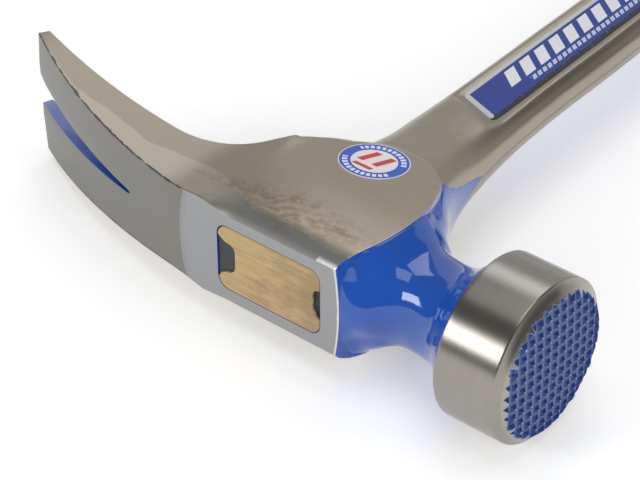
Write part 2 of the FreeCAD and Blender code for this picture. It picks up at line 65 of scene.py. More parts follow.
# Sizes are in millimetres in the frame of the CAD model: X to the striking face, Y down the
# handle and Z out of the upper cheek, from the middle of the eye on the flat of the head.
HEAD_TOP = 0.0
CLAW_TIP_OUTER = (-82.4, 20.4)
CLAW_TIP_INNER = (-81.5, 22.2)
FLAT_REAR = (-11.0, 0.0)
FLAT_FRONT = (16.7, 0.0)
CHEEK_FOOT_FRONT = (13.668, 36.52)
CHEEK_FOOT_REAR = (-8.52, 36.73)
CHEEK_REAR_LOW = (-16.19, 30.5)
CHEEK_REAR_HIGH = (-21.3, 23.03)
CLAW_ROOT = (-38.0, 15.6)
NECK_AXIS = 13.6
NECK_RADIUS = 9.0
NECK_REACH = 29.0
BELL_RADIUS = 16.85
BELL_BACK = 42.4
BELL_FRONT = 55.4
FACE_RADIUS = 14.0
FACE_RIM = 57.8
FACE_CROWN = 0.5
TOOTH_PITCH = 2.4
TOOTH_ROWS = 12
TOOTH_DEPTH = 0.8
EYE_LENGTH = 26.0
EYE_WIDTH = 15.0
EYE_CORNER = 2.6
SHANK_END = 216.0
GRIP_TOP = 212.75
BUTT = 402.75


def linear(code):
    """Turns an sRGB hex value into the linear colour that a node takes."""
    parts = [int(code[place:place + 2], 16) / 255 for place in (1, 3, 5)]
    turned = [part / 12.92 if part <= 0.04045 else ((part + 0.055) / 1.055) ** 2.4 for part in parts]
    return (*turned, 1.0)


# ---- Shapes shared by the pieces ----


def arc_points(start, through, end, count=24):
    """Points along the circular arc from start through a middle point to end."""
    (ax, ay), (bx, by), (cx, cy) = start, through, end
    twice = 2 * (ax * (by - cy) + bx * (cy - ay) + cx * (ay - by))
    sa, sb, sc = ax * ax + ay * ay, bx * bx + by * by, cx * cx + cy * cy
    ox = (sa * (by - cy) + sb * (cy - ay) + sc * (ay - by)) / twice
    oy = (sa * (cx - bx) + sb * (ax - cx) + sc * (bx - ax)) / twice
    radius = math.hypot(ax - ox, ay - oy)
    first = math.atan2(ay - oy, ax - ox)
    turn = (bx - ax) * (cy - by) - (by - ay) * (cx - bx)
    sweep = (math.atan2(cy - oy, cx - ox) - first) % (2 * math.pi)
    if turn < 0:
        sweep -= 2 * math.pi
    angles = [first + sweep * step / count for step in range(count + 1)]
    return [(ox + radius * math.cos(angle), oy + radius * math.sin(angle)) for angle in angles]


def path(*runs):
    """Joins runs of points into one path and gives a function of the share along it."""
    points = [runs[0][0]]
    for run in runs:
        points.extend(point for point in run if math.dist(point, points[-1]) > 1e-6)
    points = np.array(points)
    reach = np.concatenate([[0], np.cumsum(np.linalg.norm(np.diff(points, axis=0), axis=1))])
    reach /= reach[-1]
    return lambda share: (np.interp(share, reach, points[:, 0]), np.interp(share, reach, points[:, 1]))


TOP_EDGE = path(arc_points(CLAW_TIP_OUTER, (-50.92, 6.73), FLAT_REAR, 60), [FLAT_REAR, FLAT_FRONT])
FRONT_EDGE = path(arc_points(FLAT_FRONT, (20.1, 13.6), CHEEK_FOOT_FRONT, 40))
LOW_EDGE = path(
    arc_points(CLAW_TIP_INNER, (-60.2, 17.68), CLAW_ROOT, 50),
    arc_points(CLAW_ROOT, (-28.89, 17.2), CHEEK_REAR_HIGH, 30),
    [CHEEK_REAR_HIGH, CHEEK_REAR_LOW],
    arc_points(CHEEK_REAR_LOW, (-12.78, 34.24), CHEEK_FOOT_REAR, 20),
    arc_points(CHEEK_FOOT_REAR, (2.41, 41.5), CHEEK_FOOT_FRONT, 40),
)
TIP_EDGE = path([CLAW_TIP_OUTER, CLAW_TIP_INNER])
PLAN = np.array(
    [(-90.0, 14.7)]
    + arc_points((-80.6, 14.7), (-51.91, 11.82), (-23.86, 10.2), 60)
    + arc_points((-23.86, 10.2), (-11.93, 11.89), (0.0, 12.8), 30)
    + [(24.1, 12.61)]
)
SIDE_PLACES = np.linspace(-84.0, 24.0, 433)
SPREAD = np.exp(-np.linspace(-2.5, 2.5, 61) ** 2 / 2)
SIDE_HALF = np.convolve(
    np.pad(np.interp(SIDE_PLACES, PLAN[:, 0], PLAN[:, 1]), 30, mode="edge"), SPREAD / SPREAD.sum(), mode="valid")
END = np.array(
    [(-4.0, 10.6)]
    + arc_points((0.0, 10.6), (3.32, 12.23), (8.3, 12.8), 20)
    + arc_points((8.3, 12.8), (14.11, 12.6), (19.92, 12.0), 20)
    + [(45.5, 8.48)]
)
NAIL_SLOT = np.array(
    [(-90.0, 4.0)]
    + arc_points((-82.2, 3.7), (-79.2, 3.15), (-75.7, 2.92), 12)
    + [(-40.5, 0.4), (-40.1, 0.0), (60.0, 0.0)]
)


def smooth_step(value, low, high):
    share = min(max((value - low) / (high - low), 0.0), 1.0)
    return share * share * (3 - 2 * share)


def smooth_min(first, second, blend):
    near = max(blend - abs(first - second), 0.0) / blend
    return min(first, second) - near * near * blend / 4


def cheek_half(y):
    return float(np.interp(y, END[:, 0], END[:, 1]))


def head_half(x, y):
    """Half the thickness of the head at a place seen from the side."""
    above = float(np.interp(x, SIDE_PLACES, SIDE_HALF))
    end = cheek_half(y) + 12 * smooth_step(-x, 14.0, 34.0)
    return smooth_min(above, end, 1.2)


def head_point(along, down):
    """A place in the side view from two shares: tip to face, and top to underside."""
    top, low = np.array(TOP_EDGE(along)), np.array(LOW_EDGE(along))
    tip, front = np.array(TIP_EDGE(down)), np.array(FRONT_EDGE(down))
    corners = (
        (1 - along) * (1 - down) * np.array(CLAW_TIP_OUTER) + along * (1 - down) * np.array(FLAT_FRONT)
        + (1 - along) * down * np.array(CLAW_TIP_INNER) + along * down * np.array(CHEEK_FOOT_FRONT)
    )
    return (1 - down) * top + down * low + (1 - along) * tip + along * front - corners


def new_object(name, bm, materials, smooth=True):
    """Makes an object of a bmesh worked out in millimetres, with its place in its mesh."""
    bmesh.ops.scale(bm, vec=(MM, MM, MM), verts=bm.verts)
    mesh = bpy.data.meshes.new(name)
    bm.to_mesh(mesh)
    bm.free()
    for material in materials:
        mesh.materials.append(material)
    mesh.polygons.foreach_set("use_smooth", [smooth] * len(mesh.polygons))
    piece = bpy.data.objects.new(name, mesh)
    bpy.context.scene.collection.objects.link(piece)
    return piece


def finish_piece(piece, node, sharp=35.0):
    """Marks the crisp edges, ties the piece to the body and hides the CAD node that it stands in for."""
    piece.data.set_sharp_from_angle(angle=math.radians(sharp))
    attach(piece, "root")
    if node:
        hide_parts(node)
    return piece


def spots(piece):
    """The places of all the piece's points in millimetres."""
    places = np.empty(len(piece.data.vertices) * 3)
    piece.data.vertices.foreach_get("co", places)
    return places.reshape(-1, 3) / MM


def mark(piece, name, values):
    """Stores one number for each point of the piece, for its material to read."""
    piece.data.attributes.new(name, "FLOAT", "POINT").data.foreach_set("value", values)


def bake(piece):
    """Applies the piece's modifiers to its mesh."""
    graph = bpy.context.evaluated_depsgraph_get()
    graph.update()
    mesh = bpy.data.meshes.new_from_object(piece.evaluated_get(graph))
    old = piece.data
    piece.modifiers.clear()
    piece.data = mesh
    bpy.data.meshes.remove(old)
    return piece


def rolled_tube(place, around, along):
    """A grid rolled into a closed tube: place gives a point for a share round and a step along."""
    bm = bmesh.new()
    bmesh.ops.create_grid(bm, x_segments=around, y_segments=along, size=0.5)
    for vert in bm.verts:
        vert.co = place((vert.co.x + 0.5) % 1.0, round((vert.co.y + 0.5) * along))
    bmesh.ops.remove_doubles(bm, verts=bm.verts, dist=1e-4)
    rims = [edge for edge in bm.edges if edge.is_boundary]
    bmesh.ops.holes_fill(bm, edges=rims, sides=0)
    bmesh.ops.recalc_face_normals(bm, faces=bm.faces)
    return bm


def smooth_curve(rows, places):
    """Smooth values between stations for each column of a table."""
    table = np.array(rows, float)
    known = table[:, 0]
    result = []
    for column in range(1, table.shape[1]):
        values = table[:, column]
        slopes = np.gradient(values, known)
        spot = np.clip(np.searchsorted(known, places) - 1, 0, len(known) - 2)
        width = known[spot + 1] - known[spot]
        t = (places - known[spot]) / width
        result.append(
            (2 * t ** 3 - 3 * t ** 2 + 1) * values[spot] + (t ** 3 - 2 * t ** 2 + t) * width * slopes[spot]
            + (3 * t ** 2 - 2 * t ** 3) * values[spot + 1] + (t ** 3 - t ** 2) * width * slopes[spot + 1]
        )
    return np.array(result).T


# ---- Materials ----


def add(tree, kind, inputs=None, **settings):
    """Adds one node with its settings. An input takes a value or another node's output."""
    node = tree.nodes.new(kind)
    for name, value in settings.items():
        setattr(node, name, value)
    for name, value in (inputs or {}).items():
        if isinstance(value, bpy.types.NodeSocket):
            tree.links.new(value, node.inputs[name])
        else:
            node.inputs[name].default_value = value
    return node


def new_material(name, **surface):
    """A material with one principled shader, whose plain numbers are set on its own sockets."""
    material = bpy.data.materials.new(name)
    material.use_nodes = True
    tree = material.node_tree
    tree.nodes.clear()
    shader = add(tree, "ShaderNodeBsdfPrincipled", {key.replace("_", " "): value for key, value in surface.items()})
    output = add(tree, "ShaderNodeOutputMaterial", {"Surface": shader.outputs[0]})
    output.is_active_output = True
    return material, tree, shader


def stretched_noise(tree, scale, detail=4.0, roughness=0.6, distortion=0.0):
    """Noise on the object's own coordinates, with a scale per metre on each axis."""
    spot = add(tree, "ShaderNodeTexCoord")
    place = add(tree, "ShaderNodeMapping", {"Vector": spot.outputs["Object"], "Scale": scale})
    settings = {"Vector": place.outputs[0], "Scale": 1.0, "Detail": detail, "Roughness": roughness,
                "Distortion": distortion}
    return add(tree, "ShaderNodeTexNoise", settings)


def ramp(tree, factor, stops, interpolation="LINEAR"):
    node = add(tree, "ShaderNodeValToRGB", {"Fac": factor})
    node.color_ramp.interpolation = interpolation
    while len(node.color_ramp.elements) < len(stops):
        node.color_ramp.elements.new(0.5)
    for element, (position, colour) in zip(node.color_ramp.elements, stops):
        element.position = position
        element.color = colour
    return node


def grey(level):
    return (level, level, level, 1.0)


def blended(tree, first, second, factor, kind="MIX"):
    """Mixes two colours, each a value or another node's output."""
    mixed = add(tree, "ShaderNodeMix", {"Factor": factor}, data_type="RGBA", blend_type=kind)
    for name, colour in (("A", first), ("B", second)):
        if isinstance(colour, bpy.types.NodeSocket):
            tree.links.new(colour, mixed.inputs[name])
        else:
            mixed.inputs[name].default_value = colour
    return mixed.outputs["Result"]


def steel_surface(tree, shader, cool, warm, grain, rough, drift=(28.0, 45.0, 45.0)):
    """Belt lines in the tone and the sheen, over slow drifts between a cool and a warm grey."""
    lines = stretched_noise(tree, grain, 5.0, 0.6)
    slow = stretched_noise(tree, drift, 3.0, 0.5, 0.4)
    tone = blended(tree, linear(cool), linear(warm), slow.outputs["Fac"])
    shade = ramp(tree, lines.outputs["Fac"], [(0.3, grey(0.9)), (0.7, grey(1.0))])
    tone = blended(tree, tone, shade.outputs["Color"], 1.0, "MULTIPLY")
    tree.links.new(tone, shader.inputs["Base Color"])
    level = ramp(tree, lines.outputs["Fac"], [(0.25, grey(rough[0])), (0.75, grey(rough[1]))])
    tree.links.new(level.outputs["Color"], shader.inputs["Roughness"])
    return tone


def flank_steel():
    """Forged steel belt-ground along the head: an even, warm satin with a lighter strip at the edge."""
    material, tree, shader = new_material("belt_polished_steel", Metallic=1.0)
    tone = steel_surface(tree, shader, "#A39C90", "#B3A590", (120.0, 2400.0, 2400.0), (0.3, 0.37))
    band = add(tree, "ShaderNodeAttribute", attribute_name="band")
    sway = stretched_noise(tree, (110.0, 110.0, 110.0), 3.0, 0.6)
    shift = add(tree, "ShaderNodeMath", {0: sway.outputs["Fac"], 1: 1.6, 2: band.outputs["Fac"]},
                operation="MULTIPLY_ADD")
    strip = ramp(tree, shift.outputs[0], [(0.55, grey(0.0)), (0.95, grey(1.0))])
    spot = add(tree, "ShaderNodeTexCoord")
    parts = add(tree, "ShaderNodeSeparateXYZ", {"Vector": spot.outputs["Object"]})
    along = add(tree, "ShaderNodeMath", {0: parts.outputs["X"], 1: 100.0, 2: 1.8}, operation="MULTIPLY_ADD",
                use_clamp=True).outputs[0]
    claw = blended(tree, tone, linear("#C2B9AB"), times(tree, strip.outputs["Color"], 0.6))
    ground = times(tree, strip.outputs["Color"], along)
    tone = blended(tree, claw, linear("#8E8E8B"), ground)
    blots = stretched_noise(tree, (420.0, 600.0, 420.0), 4.0, 0.7)
    row = add(tree, "ShaderNodeMath", {0: parts.outputs["Y"], 1: 0.0075}, operation="SUBTRACT")
    off = add(tree, "ShaderNodeMath", {0: row.outputs[0]}, operation="ABSOLUTE")
    reach = add(tree, "ShaderNodeMath", {0: parts.outputs["X"], 1: 0.001}, operation="SUBTRACT")
    far = add(tree, "ShaderNodeMath", {0: reach.outputs[0]}, operation="ABSOLUTE")
    spread = add(tree, "ShaderNodeMath", {0: far.outputs[0], 1: 0.25, 2: off.outputs[0]}, operation="MULTIPLY_ADD")
    inside = ramp(tree, times(tree, spread.outputs[0], 100.0), [(0.3, grey(1.0)), (0.75, grey(0.0))])
    blot = ramp(tree, blots.outputs["Fac"], [(0.42, grey(0.0)), (0.6, grey(0.7))])
    stain = times(tree, inside.outputs["Color"], blot.outputs["Color"])
    tone = blended(tree, tone, linear("#8A6C52"), stain)
    soft = blended(tree, shader.inputs["Roughness"].links[0].from_socket, grey(0.64), ground)
    tree.links.new(soft, shader.inputs["Roughness"])
    tree.links.new(edge_nicks_and_highlight(tree, tone), shader.inputs["Base Color"])
    return material


def edge_nicks_and_highlight(tree, tone):
    """The dark thin line of nicks and scale that is left along the outer edge, and a painted highlight: a pale line
    down the front's edge.
    """
    edge = add(tree, "ShaderNodeAttribute", attribute_name="edge")
    nicks = stretched_noise(tree, (420.0, 420.0, 420.0), 4.0, 0.75)
    reach = add(tree, "ShaderNodeMath", {0: nicks.outputs["Fac"], 1: -1.5, 2: edge.outputs["Fac"]},
                operation="MULTIPLY_ADD")
    line = ramp(tree, add(tree, "ShaderNodeMath", {0: reach.outputs[0], 1: 0.5}).outputs[0],
                [(0.0, grey(0.85)), (0.14, grey(0.0))])
    tone = blended(tree, tone, linear("#4E4B42"), line.outputs["Color"])
    # Painted highlight: a pale thin line down the front edge of the cheek
    front = add(tree, "ShaderNodeAttribute", attribute_name="front")
    near = add(tree, "ShaderNodeMath", {0: nicks.outputs["Fac"], 1: -0.6, 2: front.outputs["Fac"]},
               operation="MULTIPLY_ADD")
    rim = ramp(tree, near.outputs[0], [(0.1, grey(0.9)), (0.2, grey(0.0))])
    return blended(tree, tone, linear("#E4E1D9"), rim.outputs["Color"])


def top_steel():
    """The top of the head and claw, ground across: a cool grey satin, finer over the eye."""
    material, tree, shader = new_material("satin_ground_steel", Metallic=1.0)
    tone = steel_surface(tree, shader, "#858481", "#8F8D86", (2400.0, 2400.0, 200.0), (0.4, 0.5))
    spot = add(tree, "ShaderNodeTexCoord")
    parts = add(tree, "ShaderNodeSeparateXYZ", {"Vector": spot.outputs["Object"]})
    sway = stretched_noise(tree, (60.0, 60.0, 60.0), 2.0, 0.5)
    along = add(tree, "ShaderNodeMath", {0: sway.outputs["Fac"], 1: 0.003, 2: parts.outputs["X"]},
                operation="MULTIPLY_ADD")
    bow = add(tree, "ShaderNodeMath", {0: parts.outputs["Z"], 1: 2.0}, operation="POWER")
    bent = add(tree, "ShaderNodeMath", {0: bow.outputs[0], 1: -13.0, 2: along.outputs[0]}, operation="MULTIPLY_ADD")
    far = add(tree, "ShaderNodeMath", {0: bent.outputs[0], 1: 0.0229}, operation="ADD")
    share = add(tree, "ShaderNodeMath", {0: far.outputs[0], 1: 400.0}, operation="MULTIPLY")
    fine = ramp(tree, share.outputs[0], [(0.0, grey(0.0)), (0.25, grey(0.7)), (1.0, grey(1.0))])
    tone = blended(tree, tone, linear("#A1A2A4"), fine.outputs["Color"])
    seam = ramp(tree, share.outputs[0], [(0.0, grey(0.0)), (0.06, grey(0.55)), (0.2, grey(0.0))])
    tone = blended(tree, tone, linear("#6B6A66"), seam.outputs["Color"])
    tree.links.new(edge_nicks_and_highlight(tree, tone), shader.inputs["Base Color"])
    return material


MATERIALS = {}


def make_materials(colours):
    MATERIALS["belt_polished_steel"] = flank_steel()
    MATERIALS["satin_ground_steel"] = top_steel()
    MATERIALS["turned_steel"] = turned_steel()
    MATERIALS["blue_enamel"] = blue_enamel(colours)
    MATERIALS["forging_finish"] = forging_finish(colours)
    MATERIALS["milled_enamel"] = milled_enamel(colours)
    MATERIALS["hickory"] = hickory()
    MATERIALS["sanded_resin"] = black_resin("sanded_resin", "#2C2E33", 0.5)
    MATERIALS["poured_resin"] = black_resin("poured_resin", "#0B0C0F", 0.16)
    MATERIALS["printed_label"] = printed_label(colours)
    MATERIALS["printed_sticker"] = printed_sticker(colours)
    MATERIALS["red_ink"] = red_ink(colours)
    MATERIALS["moulded_rubber"] = moulded_rubber()


def turned_steel():
    """Bell steel, polished while it turned: lines round it that stretch each highlight along the axis."""
    material, tree, shader = new_material("turned_steel", Metallic=1.0, Anisotropic=0.7)
    steel_surface(tree, shader, "#989590", "#A59F95", (2400.0, 90.0, 90.0), (0.27, 0.32), (60.0, 40.0, 40.0))
    axis = add(tree, "ShaderNodeVectorTransform", {"Vector": (1.0, 0.0, 0.0)}, vector_type="VECTOR",
               convert_from="OBJECT", convert_to="WORLD")
    tree.links.new(axis.outputs[0], shader.inputs["Tangent"])
    return material


def blue_enamel(colours):
    """Baked blue enamel: deep colour under a wet gloss, with a painted reflection that turns it pale lavender in the
    claw's mouth.
    """
    material, tree, shader = new_material("blue_enamel")
    enamel_surface(tree, shader, colours)
    spot = add(tree, "ShaderNodeTexCoord")
    parts = add(tree, "ShaderNodeSeparateXYZ", {"Vector": spot.outputs["Object"]})
    # Painted reflection: towards the claw's tips the enamel is mixed to a pale lavender
    deep = add(tree, "ShaderNodeMath", {0: parts.outputs["X"], 1: -14.0}, operation="MULTIPLY")
    slot_reflection = ramp(tree, deep.outputs[0], [(0.62, grey(0.0)), (1.05, grey(0.85))])
    tone = blended(tree, colours.enamel, linear("#7C89C8"), slot_reflection.outputs["Color"])
    tree.links.new(tone, shader.inputs["Base Color"])
    return material


def enamel_surface(tree, shader, colours):
    shader.inputs["Base Color"].default_value = colours.enamel
    shader.inputs["Roughness"].default_value = 0.07
    shader.inputs["IOR"].default_value = 1.48
    shader.inputs["Coat Weight"].default_value = 0.5
    shader.inputs["Coat Roughness"].default_value = 0.03
    enamel_bump(tree, shader)


def enamel_bump(tree, shader):
    ripple = stretched_noise(tree, (90.0, 90.0, 90.0), 2.0, 0.4)
    spot = add(tree, "ShaderNodeTexCoord")
    specks = add(tree, "ShaderNodeTexVoronoi", {"Vector": spot.outputs["Object"], "Scale": 260.0})
    dots = ramp(tree, specks.outputs["Distance"], [(0.02, grey(1.0)), (0.07, grey(0.0))])
    total = add(tree, "ShaderNodeMath", {0: dots.outputs["Color"], 1: 0.12, 2: ripple.outputs["Fac"]},
                operation="MULTIPLY_ADD")
    bump = add(tree, "ShaderNodeBump", {"Height": total.outputs[0], "Distance": 0.0006, "Strength": 0.35})
    tree.links.new(bump.outputs["Normal"], shader.inputs["Normal"])
    return bump


def forging_finish(colours):
    """The forging below the cheeks: enamel where its polished attribute is low, bare steel above."""
    material, tree, steel = new_material("forging_finish", Metallic=1.0)
    tone = steel_surface(tree, steel, "#98958D", "#B3A590", (1800.0, 60.0, 1800.0), (0.27, 0.35), (60.0, 110.0, 60.0))
    seam = add(tree, "ShaderNodeAttribute", attribute_name="seam")
    line = ramp(tree, seam.outputs["Fac"], [(0.1, grey(0.75)), (0.35, grey(0.0))])
    tone = blended(tree, tone, linear("#57504A"), line.outputs["Color"])
    tree.links.new(tone, steel.inputs["Base Color"])
    enamel = add(tree, "ShaderNodeBsdfPrincipled")
    enamel_surface(tree, enamel, colours)
    ground = add(tree, "ShaderNodeAttribute", attribute_name="ground")
    ragged = stretched_noise(tree, (500.0, 500.0, 500.0), 2.0, 0.5)
    wobble = add(tree, "ShaderNodeMath", {0: ragged.outputs["Fac"], 1: 0.12, 2: ground.outputs["Fac"]},
                 operation="MULTIPLY_ADD")
    edge = ramp(tree, wobble.outputs[0], [(0.545, grey(0.0)), (0.575, grey(1.0))])
    both = add(tree, "ShaderNodeMixShader", {0: edge.outputs["Color"], 1: enamel.outputs[0], 2: steel.outputs[0]})
    output = [node for node in tree.nodes if node.type == "OUTPUT_MATERIAL"][0]
    tree.links.new(both.outputs[0], output.inputs["Surface"])
    return material


def milled_enamel(colours):
    """Thin enamel in the milled grooves, rubbed to bare steel where the face was ground, with painted highlights: pale
    tooth tips and pale lines along the upright grooves.
    """
    material, tree, shader = new_material("milled_enamel", Roughness=0.34, IOR=1.45)
    ground = add(tree, "ShaderNodeAttribute", attribute_name="ground")
    lane = add(tree, "ShaderNodeAttribute", attribute_name="lane")
    # The tooth tips turn pale blue: a painted highlight
    tone = ramp(tree, ground.outputs["Fac"], [(0.02, colours.milled_groove), (0.14, colours.milled),
                                              (0.66, colours.milled), (0.84, colours.milled_tip_highlight)])
    # Painted highlight: pale lines along the upright grooves
    lane_highlight = add(tree, "ShaderNodeMath", {0: lane.outputs["Fac"], 1: 0.6}, operation="MULTIPLY")
    tone = blended(tree, tone.outputs["Color"], colours.milled_lane_highlight, lane_highlight.outputs[0])
    metal = ramp(tree, ground.outputs["Fac"], [(0.94, grey(0.0)), (0.96, grey(1.0))])
    tone = blended(tree, tone, linear("#ABA598"), metal.outputs["Color"])
    tree.links.new(tone, shader.inputs["Base Color"])
    tree.links.new(metal.outputs["Color"], shader.inputs["Metallic"])
    return material


def hickory():
    """Hickory end plug, sawn along the grain, sanded and handled: plain tan with grey smudges."""
    material, tree, shader = new_material("hickory", Roughness=0.6, IOR=1.45)
    grain = stretched_noise(tree, (70.0, 300.0, 1100.0), 5.0, 0.6, 0.6)
    tone = ramp(tree, grain.outputs["Fac"], [(0.3, linear("#B5976B")), (0.5, linear("#C4A777")),
                                             (0.7, linear("#CEB385"))])
    spot = add(tree, "ShaderNodeTexCoord")
    parts = add(tree, "ShaderNodeSeparateXYZ", {"Vector": spot.outputs["Object"]})
    streaks = stretched_noise(tree, (330.0, 700.0, 1500.0), 5.0, 0.7, 0.8)
    patches = stretched_noise(tree, (170.0, 170.0, 240.0), 2.0, 0.5)
    both = add(tree, "ShaderNodeMath", {0: streaks.outputs["Fac"], 1: patches.outputs["Fac"]}, operation="ADD")
    right = add(tree, "ShaderNodeMath", {0: parts.outputs["X"], 1: 22.0, 2: both.outputs[0]},
                operation="MULTIPLY_ADD")
    low = add(tree, "ShaderNodeMath", {0: right.outputs[0], 1: 0.5}, operation="SUBTRACT")
    dirt = ramp(tree, low.outputs[0], [(0.45, grey(0.0)), (0.6, grey(0.3)), (0.9, grey(0.62))])
    tone = blended(tree, tone.outputs["Color"], linear("#86775F"), dirt.outputs["Color"])
    tree.links.new(tone, shader.inputs["Base Color"])
    bump = add(tree, "ShaderNodeBump", {"Height": grain.outputs["Fac"], "Distance": 0.00015, "Strength": 0.5})
    tree.links.new(bump.outputs["Normal"], shader.inputs["Normal"])
    return material


def black_resin(name, colour, rough):
    """Poured epoxy, nearly black: grey where it was sanded, wet and lumpy where it set in the open."""
    material, tree, shader = new_material(name, IOR=1.55)
    shader.inputs["Base Color"].default_value = linear(colour)
    shader.inputs["Roughness"].default_value = rough
    lumps = stretched_noise(tree, (900.0, 900.0, 900.0), 3.0, 0.6)
    bump = add(tree, "ShaderNodeBump", {"Height": lumps.outputs["Fac"], "Distance": 0.0007})
    bump.inputs["Strength"].default_value = 1.1 - 1.8 * rough
    tree.links.new(bump.outputs["Normal"], shader.inputs["Normal"])
    return material


def printed_label(colours):
    """Vinyl film printed navy inside a pale silver border, smooth with a soft gloss."""
    material, tree, shader = new_material("printed_label", Roughness=0.22, IOR=1.45)
    sheet = add(tree, "ShaderNodeUVMap", uv_map="print")
    tree.links.new(label_art(tree, sheet, colours), shader.inputs["Base Color"])
    return material


def step_between(tree, value, low, high):
    """One where a value lies between two limits, and nought elsewhere."""
    middle = (low + high) / 2
    apart = add(tree, "ShaderNodeMath", {0: value, 1: middle}, operation="SUBTRACT")
    size = add(tree, "ShaderNodeMath", {0: apart.outputs[0]}, operation="ABSOLUTE")
    return add(tree, "ShaderNodeMath", {0: size.outputs[0], 1: (high - low) / 2}, operation="LESS_THAN").outputs[0]


def times(tree, first, second):
    return add(tree, "ShaderNodeMath", {0: first, 1: second}, operation="MULTIPLY").outputs[0]


def less(tree, first, second):
    """The first mask with the second cut out of it."""
    cut = add(tree, "ShaderNodeMath", {0: first, 1: second}, operation="SUBTRACT", use_clamp=True)
    return cut.outputs[0]


def label_art(tree, sheet, colours):
    """The label's print in millimetres: U along it from its first end, V across from its middle."""
    parts = add(tree, "ShaderNodeSeparateXYZ", {"Vector": sheet.outputs[0]})
    along, across = parts.outputs["X"], parts.outputs["Y"]
    ragged_noise = add(tree, "ShaderNodeTexNoise", {"Vector": sheet.outputs[0], "Scale": 0.9, "Detail": 4.0,
                                            "Roughness": 0.7})
    field = times(tree, step_between(tree, along, 1.5, 400.0), step_between(tree, across, -4.5, 9.0))
    tone = blended(tree, colours.label_border, colours.label_field, field)
    sway = add(tree, "ShaderNodeMath", {0: across, 1: 0.42, 2: along}, operation="MULTIPLY_ADD")
    beat = add(tree, "ShaderNodeMath", {0: sway.outputs[0], 1: 5.6}, operation="FLOORED_MODULO").outputs[0]
    rows = times(tree, step_between(tree, across, -3.7, 0.9), step_between(tree, sway.outputs[0], 11.2, 78.3))
    tone = blended(tree, tone, linear("#E6E8EC"), times(tree, step_between(tree, beat, 0.7, 4.3), rows))
    tick = add(tree, "ShaderNodeMath", {0: sway.outputs[0], 1: 1.9}, operation="FLOORED_MODULO").outputs[0]
    ticks = times(tree, step_between(tree, tick, 0.0, 1.3), step_between(tree, across, 1.7, 3.0))
    tone = blended(tree, tone, linear("#C3CADF"), times(tree, ticks, step_between(tree, along, 17.5, 79.0)))
    # A ragged dark band along the label's front edge
    ragged = add(tree, "ShaderNodeMath", {0: ragged_noise.outputs["Fac"], 1: 3.4, 2: across}, operation="MULTIPLY_ADD")
    dark_front_band = step_between(tree, ragged.outputs[0], 6.0, 20.0)
    tone = blended(tree, tone, linear("#171D1F"), dark_front_band)
    chips = add(tree, "ShaderNodeTexNoise", {"Vector": sheet.outputs[0], "Scale": 1.7, "Detail": 2.0})
    bits = times(tree, step_between(tree, chips.outputs["Fac"], 0.72, 1.0), step_between(tree, across, 4.2, 6.0))
    return blended(tree, tone, linear("#C9CBC9"), bits)


def printed_sticker(colours):
    """Gloss paper sticker: a blue ring round a white disc."""
    material, tree, shader = new_material("printed_sticker", Roughness=0.38, IOR=1.47)
    sheet = add(tree, "ShaderNodeUVMap", uv_map="print")
    length = add(tree, "ShaderNodeVectorMath", {0: sheet.outputs[0]}, operation="LENGTH")
    radius = length.outputs["Value"]
    tone = blended(tree, linear("#EDEBEC"), colours.sticker_ring, step_between(tree, radius, 4.75, 7.05))
    parts = add(tree, "ShaderNodeSeparateXYZ", {"Vector": sheet.outputs[0]})
    turn = add(tree, "ShaderNodeMath", {0: parts.outputs["Y"], 1: parts.outputs["X"]}, operation="ARCTAN2")
    beat = add(tree, "ShaderNodeMath", {0: turn.outputs[0], 1: 0.2}, operation="FLOORED_MODULO").outputs[0]
    dashes = times(tree, step_between(tree, beat, 0.03, 0.16), step_between(tree, radius, 5.35, 6.45))
    gaps = add(tree, "ShaderNodeMath", {0: turn.outputs[0]}, operation="ABSOLUTE").outputs[0]
    dashes = times(tree, dashes, less(tree, step_between(tree, gaps, -1.0, 9.0), step_between(tree, gaps, 0.0, 0.38)))
    dashes = less(tree, dashes, step_between(tree, gaps, 2.72, 4.0))
    tree.links.new(blended(tree, tone, linear("#E6EAF6"), dashes), shader.inputs["Base Color"])
    return material


def red_ink(colours):
    material, tree, shader = new_material("red_ink", Roughness=0.4, IOR=1.47)
    shader.inputs["Base Color"].default_value = colours.ink
    return material


def moulded_rubber():
    """Black moulded rubber: matt, with the faint pebble of a blasted mould."""
    material, tree, shader = new_material("moulded_rubber", Roughness=0.62, IOR=1.52)
    shader.inputs["Base Color"].default_value = linear("#1B1B1D")
    spot = add(tree, "ShaderNodeTexCoord")
    pebble = add(tree, "ShaderNodeTexVoronoi", {"Vector": spot.outputs["Object"], "Scale": 900.0}, feature="SMOOTH_F1")
    bump = add(tree, "ShaderNodeBump", {"Height": pebble.outputs["Distance"], "Distance": 0.0003, "Strength": 0.35})
    tree.links.new(bump.outputs["Normal"], shader.inputs["Normal"])
    return material


# ---- Properties ----


